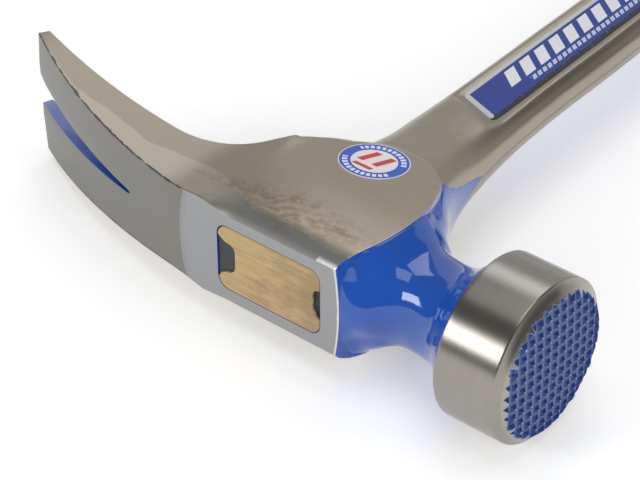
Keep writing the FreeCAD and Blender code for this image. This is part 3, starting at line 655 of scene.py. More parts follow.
class HammerColours(bpy.types.PropertyGroup):
    enamel: FloatVectorProperty(
        name="Enamel", description="Blue enamel on the neck and throat", subtype="COLOR", size=4,
        min=0.0, max=1.0, default=linear("#1B53B1"))
    milled: FloatVectorProperty(
        name="Milled face", description="Enamel on the flanks of the teeth", subtype="COLOR", size=4,
        min=0.0, max=1.0, default=linear("#163276"))
    milled_groove: FloatVectorProperty(
        name="Milled grooves", description="Dusty enamel at the bottom of the grooves", subtype="COLOR", size=4,
        min=0.0, max=1.0, default=linear("#405883"))
    # Painted highlight on the tips of the teeth
    milled_tip_highlight: FloatVectorProperty(
        name="Tooth tips", description="Enamel on the tips of the teeth", subtype="COLOR", size=4,
        min=0.0, max=1.0, default=linear("#93A9E0"))
    # Painted highlight along the upright grooves
    milled_lane_highlight: FloatVectorProperty(
        name="Milled lanes", description="Paler enamel along the upright grooves", subtype="COLOR", size=4,
        min=0.0, max=1.0, default=linear("#7186AE"))
    label_field: FloatVectorProperty(
        name="Label field", description="Ink of the shank label", subtype="COLOR", size=4,
        min=0.0, max=1.0, default=linear("#1F3B91"))
    label_border: FloatVectorProperty(
        name="Label border", description="Border of the shank label", subtype="COLOR", size=4,
        min=0.0, max=1.0, default=linear("#C6C7C6"))
    sticker_ring: FloatVectorProperty(
        name="Sticker ring", description="Ring of the round sticker", subtype="COLOR", size=4,
        min=0.0, max=1.0, default=linear("#2F59C8"))
    ink: FloatVectorProperty(
        name="Sticker bars", description="Red ink of the bars on the sticker", subtype="COLOR", size=4,
        min=0.0, max=1.0, default=linear("#D2343C"))


class HammerSizes(bpy.types.PropertyGroup):
    edge_round: FloatProperty(
        name="Head edges", description="How far the edges of the head are eased", default=0.35 * MM,
        min=0.0, max=1.0 * MM, unit="LENGTH", precision=5)
    blend_grain: FloatProperty(
        name="Blend grain", description="Cell size when the neck, throat and shank are joined",
        default=0.5 * MM, min=0.3 * MM, max=2.0 * MM, unit="LENGTH", precision=5)
    eye_gap: FloatProperty(
        name="Eye gap", description="Shadow gap round the wooden plug", default=0.12 * MM,
        min=0.0, max=0.5 * MM, unit="LENGTH", precision=5)


# ---- Pieces ----


class HAMMER_OT_head(bpy.types.Operator):
    """Builds the polished head: eye block, cheeks and split claw"""

    bl_idname = "hammer.head"
    bl_label = "Head and claw"

    def execute(self, context):
        bm = bmesh.new()
        bmesh.ops.create_cube(bm, size=1.0)
        for vert in bm.verts:
            vert.co += Vector((0.5, 0.5, 0.5))
        self.slice(bm)
        self.paint(bm)
        bare = self.place(bm)
        bmesh.ops.delete(bm, geom=bare, context="FACES")
        self.ease(bm, context.scene.hammer_sizes.edge_round / MM)
        other = bmesh.ops.mirror(bm, geom=bm.verts[:] + bm.edges[:] + bm.faces[:], axis="Z",
                                 matrix=Matrix.Identity(4), merge_dist=1e-4)
        if not other["geom"]:
            raise RuntimeError("the head was not mirrored")
        bmesh.ops.recalc_face_normals(bm, faces=bm.faces)
        for face in bm.faces:
            if face.calc_center_median().x > 12.0 and face.normal.x < 0.9:
                face.material_index = 0 if face.normal.y < -0.5 else 1
        finish = [MATERIALS[name] for name in ("satin_ground_steel", "belt_polished_steel", "blue_enamel")]
        head = new_object("head_and_claw", bm, finish)
        self.cut_eye(head, context.scene.hammer_sizes.eye_gap / MM)
        self.mark_band(head)
        finish_piece(head, "hammer_forging", 30.0)
        return {"FINISHED"}

    def slice(self, bm):
        """Cuts the cube into the rows that the curves need, close together near the edges."""
        along = [step / 110 for step in range(1, 110)] + [0.002, 0.005, 0.997]
        down = [0.02, 0.05] + [step / 24 for step in range(2, 23)] + [0.94, 0.96, 0.975, 0.988]
        through = [0.25, 0.5, 0.75, 0.9, 0.97]
        for axis, cuts in ((0, along), (1, down), (2, through)):
            for cut in cuts:
                spot, normal = Vector(), Vector()
                spot[axis] = cut
                normal[axis] = 1.0
                everything = bm.verts[:] + bm.edges[:] + bm.faces[:]
                bmesh.ops.bisect_plane(bm, geom=everything, plane_co=spot, plane_no=normal, dist=1e-6)

    def paint(self, bm):
        """Ground top, polished flanks, enamel left in the nail slot and under the front."""
        for face in bm.faces:
            middle = face.calc_center_median()
            if middle.y < 1e-4:
                face.material_index = 0
            elif middle.z < 1e-4 or middle.x > 0.9999:
                face.material_index = 2
            else:
                face.material_index = 1

    def place(self, bm):
        """Moves the cube's points onto the head and returns the faces on its mid-plane."""
        inner = [face for face in bm.faces if max(vert.co.z for vert in face.verts) < 1e-6]
        for vert in bm.verts:
            along, down, out = vert.co
            width = 4.3 + 10.4 * out
            slant = 1.8 * max(width - 6.6, 0.0) / 8.1 + 0.3 * max((6.8 - width) / 2.5, 0.0) ** 2
            near_tip = (1 - along) ** 14
            x, y = head_point(min(along + near_tip * slant / 113, 1.0), down)
            half = head_half(x, y)
            if x > -17.0:
                half -= 0.45 * max(1 - (1 - down) * (y / max(down, 0.1)) / 1.5, 0.0) ** 2
            low = float(np.interp(x, NAIL_SLOT[:, 0], NAIL_SLOT[:, 1]))
            z = low + (half - low) * out
            if x > 0:
                x += 1.0 * (1 - (z / 10.6) ** 2 if abs(z) < 10.6 else 0.0) * math.exp(-max(y, 0.0) / 5.0) * along ** 8
            vert.co = Vector((x, y, z))
        return [face for face in inner if max(vert.co.z for vert in face.verts) < 1e-5]

    def ease(self, bm, width):
        """Rounds every crisp edge a little, but not the cut on the mid-plane."""
        crisp = [edge for edge in bm.edges
                 if len(edge.link_faces) == 2 and edge.calc_face_angle(0.0) > math.radians(38)]
        bmesh.ops.bevel(bm, geom=crisp, offset=width, segments=2, profile=0.5, affect="EDGES",
                        material=-1, clamp_overlap=True)

    def mark_band(self, head):
        """Marks the strip along the outer edge, which the flank material draws lighter on the claw and grey on the
        cheek.
        """
        places = spots(head)
        edge = np.array(TOP_EDGE(np.linspace(0, 1, 300))).T
        away = np.array([np.min(np.linalg.norm(edge - place[:2], axis=1)) for place in places])
        width = np.interp(places[:, 0], [-82, -70, -62, -48.6, -38.5, -32.5, -26, -20, -13, -6.3, 1.4, 14],
                          [0.1, 0.4, 1.0, 4.1, 4.8, 7.0, 8.5, 8.8, 6.0, 3.4, 3.8, 2.8])
        mark(head, "band", width - away)
        inward = [head_half(x, y) - abs(z) for x, y, z in places]
        mark(head, "edge", np.hypot(away, inward) + np.interp(places[:, 0], [-24.0, -17.0], [0.0, 2.0]))
        xs, ys = FRONT_EDGE(np.linspace(0, 1, 60))
        bulge = np.clip(1 - (places[:, 2] / 10.6) ** 2, 0, 1) * np.exp(-np.clip(places[:, 1], 0, 99) / 5.0)
        mark(head, "front", np.interp(places[:, 1], ys, xs) + bulge - places[:, 0]
             + np.interp(places[:, 1], [0.4, 1.4], [0.0, 2.0]))

    def cut_eye(self, head, gap):
        cutter = new_object("eye_cutter", rounded_block(
            (-EYE_LENGTH / 2 - gap, -2.0, -EYE_WIDTH / 2 - gap), (EYE_LENGTH / 2 + gap, 8.0, EYE_WIDTH / 2 + gap),
            EYE_CORNER + gap), [MATERIALS["blue_enamel"]])
        cut = head.modifiers.new("eye", "BOOLEAN")
        cut.operation = "DIFFERENCE"
        cut.solver = "EXACT"
        cut.object = cutter
        bake(head)
        bpy.data.objects.remove(cutter)


def rounded_block(low, high, corner, segments=6):
    """A block from low to high with its four edges along Y rounded."""
    bm = bmesh.new()
    bmesh.ops.create_cube(bm, size=1.0)
    size = Vector(high) - Vector(low)
    bmesh.ops.scale(bm, vec=size, verts=bm.verts)
    bmesh.ops.translate(bm, vec=(Vector(high) + Vector(low)) / 2, verts=bm.verts)
    upright = [edge for edge in bm.edges if abs(edge.verts[0].co.y - edge.verts[1].co.y) > 1e-6]
    bmesh.ops.bevel(bm, geom=upright, offset=corner, segments=segments, profile=0.5, affect="EDGES",
                    material=-1, clamp_overlap=True)
    return bm


# Share of the way from the cheek's front to the round neck, and of the extra reach left there
ROOT_FALL = ((0.0, 1.0), (0.1, 0.955), (0.2, 0.9), (0.33, 0.79), (0.42, 0.69), (0.5, 0.56), (0.58, 0.38),
             (0.65, 0.24), (0.72, 0.13), (0.8, 0.055), (0.88, 0.015), (1.0, 0.0))
# Down the same way: the extra width left there, and how square the section is
SHOULDER = (
    (0.0, 1.0, 6.0), (0.1, 0.86, 4.7), (0.2, 0.68, 3.8), (0.3, 0.48, 3.4), (0.42, 0.27, 3.2), (0.6, 0.09, 3.1),
    (0.8, 0.01, 3.0), (1.0, 0.0, 3.0),
)
# From the round neck to the bell: place, half height, half width and how square it is
FLARE = (
    (29.0, 9.0, 8.9, 3.0), (32.0, 9.2, 9.15, 2.5), (35.5, 10.1, 10.1, 2.1), (37.5, 11.3, 11.35, 2.0),
    (39.0, 12.7, 12.7, 2.0), (40.8, 14.6, 14.6, 2.0), (42.4, 16.3, 16.3, 2.0),
)
# Down the shank: place, rear and front of its edge, half thickness and how square it is
SHANK = (
    (17.65, -15.3, 33.4, 7.4, 3.4), (22.8, -14.9, 28.1, 8.6, 3.6), (26.75, -13.2, 23.1, 9.3, 3.8),
    (31.3, -11.5, 19.6, 9.6, 3.9), (36.1, -10.4, 16.3, 9.3, 3.6), (41.1, -9.9, 13.9, 8.6, 3.3),
    (47.3, -9.8, 12.0, 7.6, 3.0), (55.2, -10.5, 10.7, 6.5, 2.8), (66.4, -10.85, 9.3, 5.8, 2.7),
    (80.9, -11.3, 8.25, 5.6, 2.6), (107.9, -12.1, 7.5, 5.6, 2.6), (149.4, -12.9, 6.1, 5.6, 2.6),
    (216.8, -13.3, 4.7, 5.5, 2.6),
)
WEB_DEPTH = 1.3
WEB_HALF = 6.1
BOW = ((0.0, 0.0), (48.3, -0.36), (66.5, -1.08), (84.6, -1.71), (108.7, -2.34), (149.0, -3.51), (205.4, -4.37),
       (249.7, -4.5), (302.1, -3.87), (354.4, -2.25), (402.75, -0.45))


def bow_at(y):
    return float(np.interp(y, [row[0] for row in BOW], [row[1] for row in BOW]))


class HAMMER_OT_neck_and_shank(bpy.types.Operator):
    """Builds the neck, throat and shank as one smooth forging"""

    bl_idname = "hammer.neck_and_shank"
    bl_label = "Neck and shank"

    def execute(self, context):
        neck = new_object("neck_part", self.neck(), [])
        shank = new_object("shank_part", self.shank(), [])
        joined = bmesh.new()
        joined.from_mesh(neck.data)
        joined.from_mesh(shank.data)
        bmesh.ops.scale(joined, vec=(1 / MM,) * 3, verts=joined.verts)
        body = new_object("neck_and_shank", joined, [])
        for part in (neck, shank):
            bpy.data.objects.remove(part)
        blend = body.modifiers.new("blend", "REMESH")
        blend.mode = "VOXEL"
        blend.voxel_size = context.scene.hammer_sizes.blend_grain
        bake(body)
        self.soften(body)
        body.data.materials.append(MATERIALS["forging_finish"])
        finish_piece(body, "hammer_forging", 60.0)
        return {"FINISHED"}

    def neck(self):
        """Square where it leaves the cheeks, round in the middle and flared behind the bell."""
        root = 24
        steps = [(-1.0, None)] + [(step / root, None) for step in range(root + 1)]
        flare = np.array(FLARE)
        turns = np.linspace(29.6, 42.4, 26)
        stations = steps + [(None, x) for x in turns] + [(None, 44.5), (None, 46.0)]
        fall = np.array(ROOT_FALL)

        def place(share, step):
            angle = share * 2 * math.pi
            up, side = math.cos(angle), math.sin(angle)
            root_share, x = stations[step]
            if root_share is None:
                high, wide, square = smooth_curve(FLARE, np.array([min(x, 42.4)]))[0]
                rise, out = self.section(up, side, high, wide, square, 1 - smooth_step(x, NECK_REACH, 36.5))
                return Vector((x, NECK_AXIS - rise, out))
            high, wide = self.half_sizes(up, 1.0, 1.0)
            rise, out = self.section(up, side, high, wide, 11.0)
            y = NECK_AXIS - rise
            start = float(np.interp(y, *self.front_line()))
            if y < 1.0:
                start += max(1 - (out / 10.6) ** 2, 0.0)
            room = (cheek_half(y) - 0.3) / 12.3
            if root_share < 0:
                return Vector((start - 4.0, y + 0.8 * up, out * room - 0.8 * side))
            left = float(np.interp(root_share, fall[:, 0], fall[:, 1]))
            late, square = smooth_curve(SHOULDER, np.array([root_share]))[0]
            high, wide = self.half_sizes(up, left, late)
            rise, out = self.section(up, side, high, wide, square, min(root_share / 0.2, 1.0))
            room = 1 - (1 - room) * left
            return Vector((start + (NECK_REACH - start) * root_share, NECK_AXIS - rise, out * room))

        return rolled_tube(place, 144, len(stations) - 1)

    def front_line(self):
        xs, ys = FRONT_EDGE(np.linspace(0, 1, 60))
        return ys, xs

    def half_sizes(self, up, left, late):
        """Half height and half width of the neck: the front of the eye block where both shares are one."""
        high = NECK_RADIUS + ((NECK_AXIS if up > 0 else 15.5) - NECK_RADIUS) * left
        return high, 8.9 + (12.3 - 8.9) * late

    def section(self, up, side, high, wide, square, crown=0.0):
        """A point of the neck's outline: a squared oval, with a rounder top where crown is one."""
        radius = ((abs(up) / high) ** square + (abs(side) / wide) ** square) ** (-1 / square)
        rise, out = radius * up, radius * side
        if up > 0:
            rise += (high * up ** 0.64 - rise) * crown
            out += (math.copysign(wide * abs(side) ** 1.13, side) - out) * crown
        return rise, out

    def shank(self):
        """Rounded oval sections from inside the neck down to the grip, with a hollow each side."""
        places = np.concatenate([np.linspace(17.65, 70.0, 90), np.linspace(71.5, SHANK_END, 90)])
        rows = smooth_curve(SHANK, places)

        def place(share, step):
            rear, front, half, square = rows[step]
            y = places[step]
            angle = share * 2 * math.pi
            across = math.copysign(abs(math.cos(angle)) ** (2 / square), math.cos(angle))
            out = math.copysign(abs(math.sin(angle)) ** (2 / square), math.sin(angle))
            x = (rear + front) / 2 + across * (front - rear) / 2
            z = half * out
            off = x - bow_at(y)
            start = 64.6 + 4.0 * (0.5 - off / (2 * WEB_HALF))
            depth = smooth_step(y, start - 1.6, start + 1.6) * (1 - smooth_step(abs(off), WEB_HALF - 0.1, WEB_HALF + 0.6))
            floor = 4.2
            if abs(z) > floor:
                z = math.copysign(abs(z) - (abs(z) - floor) * depth, z)
            return Vector((x, y, z))

        return rolled_tube(place, 128, len(places) - 1)

    def soften(self, body):
        """Fills the joint under the neck like a forged fillet and evens the whole skin."""
        mesh = body.data
        places = spots(body)
        edges = np.empty(len(mesh.edges) * 2, dtype=int)
        mesh.edges.foreach_get("vertices", edges)
        ends = np.concatenate([edges.reshape(-1, 2), edges.reshape(-1, 2)[:, ::-1]])
        count = np.bincount(ends[:, 0], minlength=len(places))[:, None]
        away = np.linalg.norm(places - np.array([22.0, 28.0, 0.0]), axis=1)
        near = np.clip((15.0 - away) / 5.0, 0, 1)[:, None]
        start = places.copy()
        normals = np.empty(len(places) * 3)
        for step in range(170):
            if step % 10 == 0:
                mesh.vertices.foreach_set("co", (places * MM).ravel())
                mesh.update()
                mesh.vertex_normals.foreach_get("vector", normals)
                outward = normals.reshape(-1, 3).copy()
            middle = np.stack([np.bincount(ends[:, 0], weights=places[ends[:, 1], axis], minlength=len(places))
                               for axis in range(3)], axis=1) / count
            if step < 160:
                lift = np.clip(((middle - places) * outward).sum(axis=1, keepdims=True), 0, None)
                places = places + 0.6 * near * lift * outward
                roof = np.maximum(np.interp(places[:, 1], END[:, 0], END[:, 1]) - 0.3, np.abs(start[:, 2]))
                places[:, 2] = np.clip(places[:, 2], -roof, roof)
            else:
                places = places + 0.5 * (middle - places)
        mesh.vertices.foreach_set("co", (places * MM).ravel())
        mesh.update()
        mesh.polygons.foreach_set("use_smooth", [True] * len(mesh.polygons))
        mark(body, "ground", self.ground(*places.T))
        mark(body, "seam", np.abs(places[:, 2] + 0.4) + np.where(places[:, 0] > 0, 0.0, 9.0))

    def ground(self, x, y, z):
        """Over half where the belt has taken the enamel off, and less where it is left."""
        line = np.interp(y, [30, 34, 36, 38.1, 40, 42.6, 45, 48, 52, 56, 60],
                         [30, 14, 9.5, 7.5, 5.8, 4.2, 3.1, 2.1, 1.0, -0.6, -4.0])
        flank = np.abs(z) - line
        off = np.abs(x - np.interp(y, [row[0] for row in BOW], [row[1] for row in BOW]))
        half = np.where((z > 0) & (y < 158), 5.0, WEB_HALF + 0.1)
        web = np.minimum(np.minimum(4.75 - np.abs(z), half - off), y - np.where(z > 0, 71.0, 66.0))
        return 0.5 + 0.25 * np.clip(np.minimum(flank, -web), -2.0, 2.0)


class HAMMER_OT_bell(bpy.types.Operator):
    """Builds the round bell and its milled face"""

    bl_idname = "hammer.bell"
    bl_label = "Bell and milled face"

    rim = 15.3

    def front(self, radius):
        """How far along the head the unmilled front of the bell is, at a distance from its axis."""
        if radius < FACE_RADIUS:
            return FACE_RIM + FACE_CROWN * (1 - (radius / FACE_RADIUS) ** 2)
        return FACE_RIM - (radius - FACE_RADIUS) * 2.4 / 2.85

    def execute(self, context):
        bm = bmesh.new()
        outline = [(BELL_BACK + 0.6, 15.6), (BELL_BACK, 16.1), (BELL_BACK + 0.02, 16.45)]
        outline += [(BELL_BACK + 0.4 * (1 - math.cos(t)), 16.45 + 0.4 * math.sin(t))
                    for t in (0.4, 0.8, 1.2, math.pi / 2)]
        outline += [(x, BELL_RADIUS) for x in (43.5, 46.0, 49.0, 52.0, 54.5, 55.1)]
        outline += arc_points((55.2, BELL_RADIUS), (55.47, 16.75), (55.62, 16.5), 8)[1:]
        outline += [(self.front(r), r) for r in (15.6, self.rim)]
        before = None
        for x, radius in outline:
            vert = bm.verts.new((x, NECK_AXIS - radius, 0.0))
            if before:
                bm.edges.new((before, vert))
            before = vert
        bmesh.ops.spin(bm, geom=bm.verts[:] + bm.edges[:], cent=(0, NECK_AXIS, 0), axis=(1, 0, 0),
                       angle=2 * math.pi, steps=192, use_merge=True)
        bmesh.ops.remove_doubles(bm, verts=bm.verts, dist=1e-4)
        bmesh.ops.recalc_face_normals(bm, faces=bm.faces)
        bell = new_object("bell", bm, [MATERIALS["turned_steel"]])
        finish_piece(bell, "hammer_forging", 50.0)
        face = new_object("milled_face", self.milled(), [MATERIALS["milled_enamel"]])
        finish_piece(face, "hammer_forging", 20.0)
        return {"FINISHED"}

    def milled(self):
        """The face as a fine grid, sunk wherever a groove crosses it."""
        bm = bmesh.new()
        cells = 156
        bmesh.ops.create_grid(bm, x_segments=cells, y_segments=cells, size=0.5)
        ground = bm.verts.layers.float.new("ground")
        lane = bm.verts.layers.float.new("lane")
        cell = 0.2
        for vert in bm.verts:
            z, y = round(vert.co.x * cells) * cell, round(vert.co.y * cells) * cell
            radius = math.hypot(y, z)
            if radius > self.rim and radius < self.rim + 2 * cell:
                y, z = y * self.rim / radius, z * self.rim / radius
                radius = self.rim
            crest = self.front(radius)
            sunk = self.front(min(radius, FACE_RADIUS)) - TOOTH_DEPTH
            flat = 0.5 * (1 - smooth_step(radius, FACE_RADIUS - 1.2, FACE_RADIUS))
            cuts = []
            for across in (y, z):
                spot = (across / TOOTH_PITCH - 0.5) % 1.0
                off = min(spot, 1 - spot) * TOOTH_PITCH
                inside = abs(across) < TOOTH_PITCH * (TOOTH_ROWS / 2) - 0.01
                rise = min(max(off - flat, 0.0) / (1.1 - flat), 1.0)
                cuts.append(sunk + rise * TOOTH_DEPTH if inside else 99.0)
            x = min(crest, *cuts)
            vert[lane] = 1.0 if abs((y / TOOTH_PITCH) % 1.0 - 0.5) < 0.01 else 0.0
            vert[ground] = 1.0 if x >= crest - 1e-4 and radius > FACE_RADIUS - 0.1 else (x - sunk) / TOOTH_DEPTH * 0.9
            vert.co = Vector((x, NECK_AXIS + y, z))
        outside = [vert for vert in bm.verts
                   if math.hypot(vert.co.y - NECK_AXIS, vert.co.z) > self.rim + 1e-3]
        bmesh.ops.delete(bm, geom=outside, context="VERTS")
        bmesh.ops.triangulate(bm, faces=bm.faces, quad_method="LONG_EDGE")
        bmesh.ops.recalc_face_normals(bm, faces=bm.faces)
        if sum(face.normal.x for face in bm.faces) < 0:
            bmesh.ops.reverse_faces(bm, faces=bm.faces)
        return bm


class HAMMER_OT_plug(bpy.types.Operator):
    """Builds the wooden plug and the black resin keys at its ends"""

    bl_idname = "hammer.plug"
    bl_label = "Wooden plug"

    def execute(self, context):
        half = EYE_LENGTH / 2 - 0.05
        wide = EYE_WIDTH / 2 - 0.05
        plug = new_object("wood_plug_sanded", rounded_block((-half + 0.2, 0.0, -wide), (half, 10.0, wide), EYE_CORNER),
                          [MATERIALS["hickory"]])
        for end, finish, points in (("claw", "sanded_resin", KEY_CLAW), ("face", "poured_resin", KEY_FACE)):
            cutter = new_object("key_cutter", prism(points, -1.0, 6.0), [])
            cut = plug.modifiers.new("key", "BOOLEAN")
            cut.operation = "DIFFERENCE"
            cut.solver = "EXACT"
            cut.object = cutter
            bake(plug)
            bpy.data.objects.remove(cutter)
            inside = [(min(max(x, -half), half), z) for x, z in points]
            key = new_object("resin_key_%s" % end, prism(inside, 0.45, 5.0), [MATERIALS[finish]])
            finish_piece(key, "resin_key_%s_end" % end)
        finish_piece(plug, "wood_plug")
        return {"FINISHED"}


# The resin's outlines on the top of the head, as x and z
KEY_CLAW = ((-13.4, 5.6), (-12.2, 4.5), (-11.0, 3.8), (-9.6, 3.6), (-8.75, 3.1), (-8.4, 2.2), (-8.4, -1.4),
            (-8.7, -2.4), (-9.6, -3.2), (-11.2, -3.7), (-12.2, -4.3), (-12.7, -5.2), (-13.4, -6.0))
KEY_FACE = ((13.4, 3.6), (12.5, 3.1), (11.8, 2.9), (11.3, 2.2), (11.1, 1.2), (11.35, 0.3), (11.1, -0.9),
            (11.3, -1.9), (11.8, -2.4), (12.0, -3.2), (12.8, -3.6), (13.4, -4.0))


def prism(points, low, high):
    """A block along Y with its outline given as x and z."""
    bm = bmesh.new()
    face = bm.faces.new([bm.verts.new((x, low, z)) for x, z in points])
    raised = bmesh.ops.extrude_face_region(bm, geom=[face])
    tops = [item for item in raised["geom"] if isinstance(item, bmesh.types.BMVert)]
    bmesh.ops.translate(bm, vec=(0, high - low, 0), verts=tops)
    bmesh.ops.recalc_face_normals(bm, faces=bm.faces)
    return bm


# The red bars on the sticker, each as four corners from its middle
STICKER_BARS = (
    ((-3.3, -1.5), (-1.8, -1.5), (-0.5, 3.4), (-2.0, 3.4)),
    ((0.3, -1.5), (1.8, -1.5), (3.1, 3.4), (1.6, 3.4)),
    ((-2.9, -3.6), (1.6, -3.6), (1.9, -2.6), (-2.6, -2.6)),
)


class HAMMER_OT_labels(bpy.types.Operator):
    """Builds the round sticker and the shank label"""

    bl_idname = "hammer.labels"
    bl_label = "Sticker and label"

    def execute(self, context):
        self.sticker()
        self.label()
        return {"FINISHED"}

    def sticker_place(self):
        lean = math.atan(0.1375)
        turn = Matrix.Rotation(-lean, 4, "X")
        return Matrix.Translation(Vector((0.0, 32.3, cheek_half(32.3)))) @ turn

    def sticker(self):
        bm = bmesh.new()
        bmesh.ops.create_circle(bm, cap_ends=True, segments=72, radius=7.25)
        sheet = bm.loops.layers.uv.new("print")
        for face in bm.faces:
            for loop in face.loops:
                loop[sheet].uv = loop.vert.co.xy
        raised = bmesh.ops.extrude_face_region(bm, geom=bm.faces[:])
        tops = [item for item in raised["geom"] if isinstance(item, bmesh.types.BMVert)]
        bmesh.ops.translate(bm, vec=(0, 0, 0.12), verts=tops)
        bmesh.ops.recalc_face_normals(bm, faces=bm.faces)
        bmesh.ops.transform(bm, matrix=self.sticker_place(), verts=bm.verts)
        disc = new_object("round_sticker", bm, [MATERIALS["printed_sticker"]])
        finish_piece(disc, "head_sticker")
        self.bars()

    def bars(self):
        """Three plain red bars printed in the middle of the sticker."""
        bm = bmesh.new()
        for points in STICKER_BARS:
            face = bm.faces.new([bm.verts.new((x, y, 0.13)) for x, y in points])
            raised = bmesh.ops.extrude_face_region(bm, geom=[face])
            tops = [item for item in raised["geom"] if isinstance(item, bmesh.types.BMVert)]
            bmesh.ops.translate(bm, vec=(0, 0, 0.01), verts=tops)
        bmesh.ops.recalc_face_normals(bm, faces=bm.faces)
        bmesh.ops.transform(bm, matrix=self.sticker_place(), verts=bm.verts)
        finish_piece(new_object("sticker_bars", bm, [MATERIALS["red_ink"]]), "head_sticker")

    def label(self):
        """A strip along the hollow, its first end cut on a slant, with its print in millimetres."""
        bm = bmesh.new()
        bmesh.ops.create_grid(bm, x_segments=28, y_segments=60, size=0.5)
        sheet = bm.loops.layers.uv.new("print")
        half = 5.6
        for vert in bm.verts:
            across = -vert.co.x * 2 * half
            start = 66.3 + 4.0 * (0.5 - across / (2 * half))
            corner = max(abs(across) - (half - 1.5), 0.0)
            first = start + 1.5 - math.sqrt(1.5 ** 2 - corner ** 2)
            y = first + (vert.co.y + 0.5) * (158.2 - first)
            vert.co = Vector((bow_at(y) + across, y, 4.36))
        for face in bm.faces:
            for loop in face.loops:
                x, y = loop.vert.co.x, loop.vert.co.y
                across = x - bow_at(y)
                start = 66.3 + 4.0 * (0.5 - across / (2 * half))
                loop[sheet].uv = (y - start, across)
        bmesh.ops.recalc_face_normals(bm, faces=bm.faces)
        if bm.faces[:][0].normal.z < 0:
            bmesh.ops.reverse_faces(bm, faces=bm.faces)
        label = new_object("printed_shank_label", bm, [MATERIALS["printed_label"]])
        thick = label.modifiers.new("film", "SOLIDIFY")
        thick.thickness = 0.1 * MM
        thick.offset = -1.0
        bake(label)
        finish_piece(label, "shank_label")


# The grip: share of its length, then half its width and half its thickness in millimetres
GRIP = (
    (0.0, 11.3, 8.8), (0.008, 12.6, 9.7), (0.02, 13.1, 10.15), (0.06, 12.9, 10.0), (0.14, 12.65, 9.95),
    (0.25, 13.6, 10.8), (0.375, 15.1, 11.95), (0.5, 16.1, 12.65), (0.625, 16.0, 12.65), (0.75, 15.0, 12.1),
    (0.84, 15.4, 12.6), (0.9, 16.6, 13.6), (0.95, 18.3, 14.9), (0.975, 19.2, 15.6), (0.988, 19.0, 15.4),
    (0.996, 18.0, 14.6), (1.0, 16.9, 13.7),
)


class HAMMER_OT_grip(bpy.types.Operator):
    """Builds the moulded rubber grip"""

    bl_idname = "hammer.grip"
    bl_label = "Rubber grip"

    def execute(self, context):
        shares = np.concatenate([np.linspace(0, 0.03, 10), np.linspace(0.04, 0.94, 120), np.linspace(0.945, 1.0, 20)])
        rows = smooth_curve(GRIP, shares)
        length = BUTT - GRIP_TOP

        def place(share, step):
            wide, thick = rows[step]
            y = GRIP_TOP + length * shares[step]
            angle = share * 2 * math.pi
            across = math.copysign(abs(math.cos(angle)) ** 0.82, math.cos(angle))
            out = math.copysign(abs(math.sin(angle)) ** 0.82, math.sin(angle))
            return Vector((bow_at(y) + wide * across, y, thick * out))

        bm = rolled_tube(place, 96, len(shares) - 1)
        grip = new_object("rubber_grip", bm, [MATERIALS["moulded_rubber"]])
        finish_piece(grip, "grip", 60.0)
        return {"FINISHED"}


# ---- The stage ----

# The photograph's camera: turns and rise about the object in degrees, and its place
CAMERA_AZIMUTH = 40.161
CAMERA_RISE = 36.206
CAMERA_ROLL = -0.230
CAMERA_PLACE = (239.246, -267.933, 272.077)
CAMERA_FOCUS = 2348.6
PICTURE_WIDTH = 640


def toward(azimuth, rise):
    """The direction that leads to a place round the object."""
    turn, up = math.radians(azimuth), math.radians(rise)
    return Vector((math.sin(turn) * math.cos(up), -math.cos(turn) * math.cos(up), math.sin(up)))


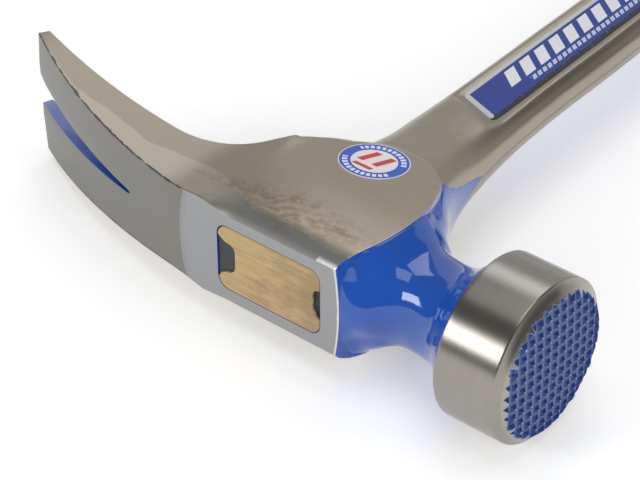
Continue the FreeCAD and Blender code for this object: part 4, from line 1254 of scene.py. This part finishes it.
class HAMMER_OT_stage(bpy.types.Operator):
    """Sets up the floor, the studio light and the camera"""

    bl_idname = "hammer.stage"
    bl_label = "Floor, lights and camera"

    def execute(self, context):
        self.floor()
        self.world(context.scene)
        self.lamp("window", -33, 23, 1.5, (0.6, 0.5), 7.5, "#FFFFFF")
        self.lamp("far_window", -150, 51, 1.5, (0.72, 0.68), 2.0, "#F6F8FF")
        self.lamp("ceiling", 0, 88, 1.5, (1.0, 1.0), 1.8, "#FFFFFF")
        self.lamp("camera_side", 64, 26, 1.5, (2.3, 1.2), 1.9, "#FFFFFF").visible_glossy = False
        self.lamp("back_panel", -163, 17, 1.5, (3.9, 1.0), 0.46, "#FFFFFF")
        self.camera(context.scene)
        context.scene.view_settings.view_transform = "Standard"
        return {"FINISHED"}

    def floor(self):
        bm = bmesh.new()
        bmesh.ops.create_circle(bm, cap_ends=True, segments=64, radius=9000.0)
        bmesh.ops.translate(bm, vec=(0, 0, CAD_BOX[0][2] / MM), verts=bm.verts)
        material, tree, shader = new_material("pale_floor", Roughness=0.9)
        shader.inputs["Base Color"].default_value = linear("#F2F2F2")
        shader.inputs["Specular IOR Level"].default_value = 0.0
        shader.inputs["Emission Color"].default_value = (1.0, 1.0, 1.0, 1.0)
        seen = add(tree, "ShaderNodeLightPath")
        first = add(tree, "ShaderNodeMath", {0: seen.outputs["Is Camera Ray"], 1: seen.outputs["Is Glossy Ray"]},
                    operation="MAXIMUM")
        second = add(tree, "ShaderNodeMath", {0: first.outputs[0], 1: seen.outputs["Is Transmission Ray"]},
                     operation="MAXIMUM")
        lift = add(tree, "ShaderNodeMath", {0: second.outputs[0], 1: 0.33}, operation="MULTIPLY")
        tree.links.new(lift.outputs[0], shader.inputs["Emission Strength"])
        floor = new_object("floor", bm, [material])

    def world(self, scene):
        world = bpy.data.worlds.new("studio")
        scene.world = world
        world.use_nodes = True
        shade = world.node_tree.nodes["Background"]
        shade.inputs["Color"].default_value = (1.0, 1.0, 1.0, 1.0)
        shade.inputs["Strength"].default_value = 0.15

    def lamp(self, name, azimuth, rise, distance, size, strength, colour):
        """A soft rectangular lamp whose strength is its brightness against a white floor of one."""
        data = bpy.data.lights.new(name, "AREA")
        data.shape = "RECTANGLE"
        data.size, data.size_y = size
        data.energy = strength * math.pi * size[0] * size[1]
        data.color = linear(colour)[:3]
        lamp = bpy.data.objects.new(name, data)
        centre = Vector((0.02, 0.015, 0.0))
        lamp.location = centre + toward(azimuth, rise) * distance
        lamp.rotation_euler = toward(azimuth, rise).to_track_quat("Z", "Y").to_euler()
        bpy.context.scene.collection.objects.link(lamp)
        return lamp

    def camera(self, scene):
        data = bpy.data.cameras.new("photo_view")
        data.sensor_width = 36.0
        data.lens = CAMERA_FOCUS * data.sensor_width / PICTURE_WIDTH
        data.clip_start, data.clip_end = 0.01, 50.0
        camera = bpy.data.objects.new("photo_view", data)
        back = toward(CAMERA_AZIMUTH, CAMERA_RISE)
        turn = math.radians(CAMERA_AZIMUTH)
        right = Vector((math.cos(turn), math.sin(turn), 0.0))
        up = back.cross(right)
        roll = math.radians(CAMERA_ROLL)
        rolled_right = right * math.cos(roll) + up * math.sin(roll)
        rolled_up = up * math.cos(roll) - right * math.sin(roll)
        camera.matrix_world = Matrix.Translation(Vector(CAMERA_PLACE) * MM) @ Matrix(
            (rolled_right, rolled_up, back)).transposed().to_4x4()
        scene.collection.objects.link(camera)
        scene.camera = camera


class HAMMER_PT_panel(bpy.types.Panel):
    """Lists the colours, the sizes and a button for each piece"""

    bl_label = "Hammer"
    bl_idname = "HAMMER_PT_panel"
    bl_space_type = "VIEW_3D"
    bl_region_type = "UI"
    bl_category = "Hammer"

    def draw(self, context):
        layout = self.layout
        for group in (context.scene.hammer_sizes, context.scene.hammer_colours):
            for name in group.__annotations__:
                layout.prop(group, name)
        for operator in OPERATORS:
            layout.operator(operator.bl_idname)


OPERATORS = (
    HAMMER_OT_head,
    HAMMER_OT_neck_and_shank,
    HAMMER_OT_bell,
    HAMMER_OT_plug,
    HAMMER_OT_labels,
    HAMMER_OT_grip,
    HAMMER_OT_stage,
)
CLASSES = (HammerColours, HammerSizes, *OPERATORS, HAMMER_PT_panel)


def register():
    for item in CLASSES:
        bpy.utils.register_class(item)
    bpy.types.Scene.hammer_colours = PointerProperty(type=HammerColours)
    bpy.types.Scene.hammer_sizes = PointerProperty(type=HammerSizes)


def unregister():
    del bpy.types.Scene.hammer_sizes
    del bpy.types.Scene.hammer_colours
    for item in reversed(CLASSES):
        bpy.utils.unregister_class(item)


def main():
    register()
    make_materials(bpy.context.scene.hammer_colours)
    bpy.ops.hammer.head()
    bpy.ops.hammer.neck_and_shank()
    bpy.ops.hammer.bell()
    bpy.ops.hammer.plug()
    bpy.ops.hammer.labels()
    bpy.ops.hammer.grip()
    bpy.ops.hammer.stage()


if __name__ == "__main__":
    main()
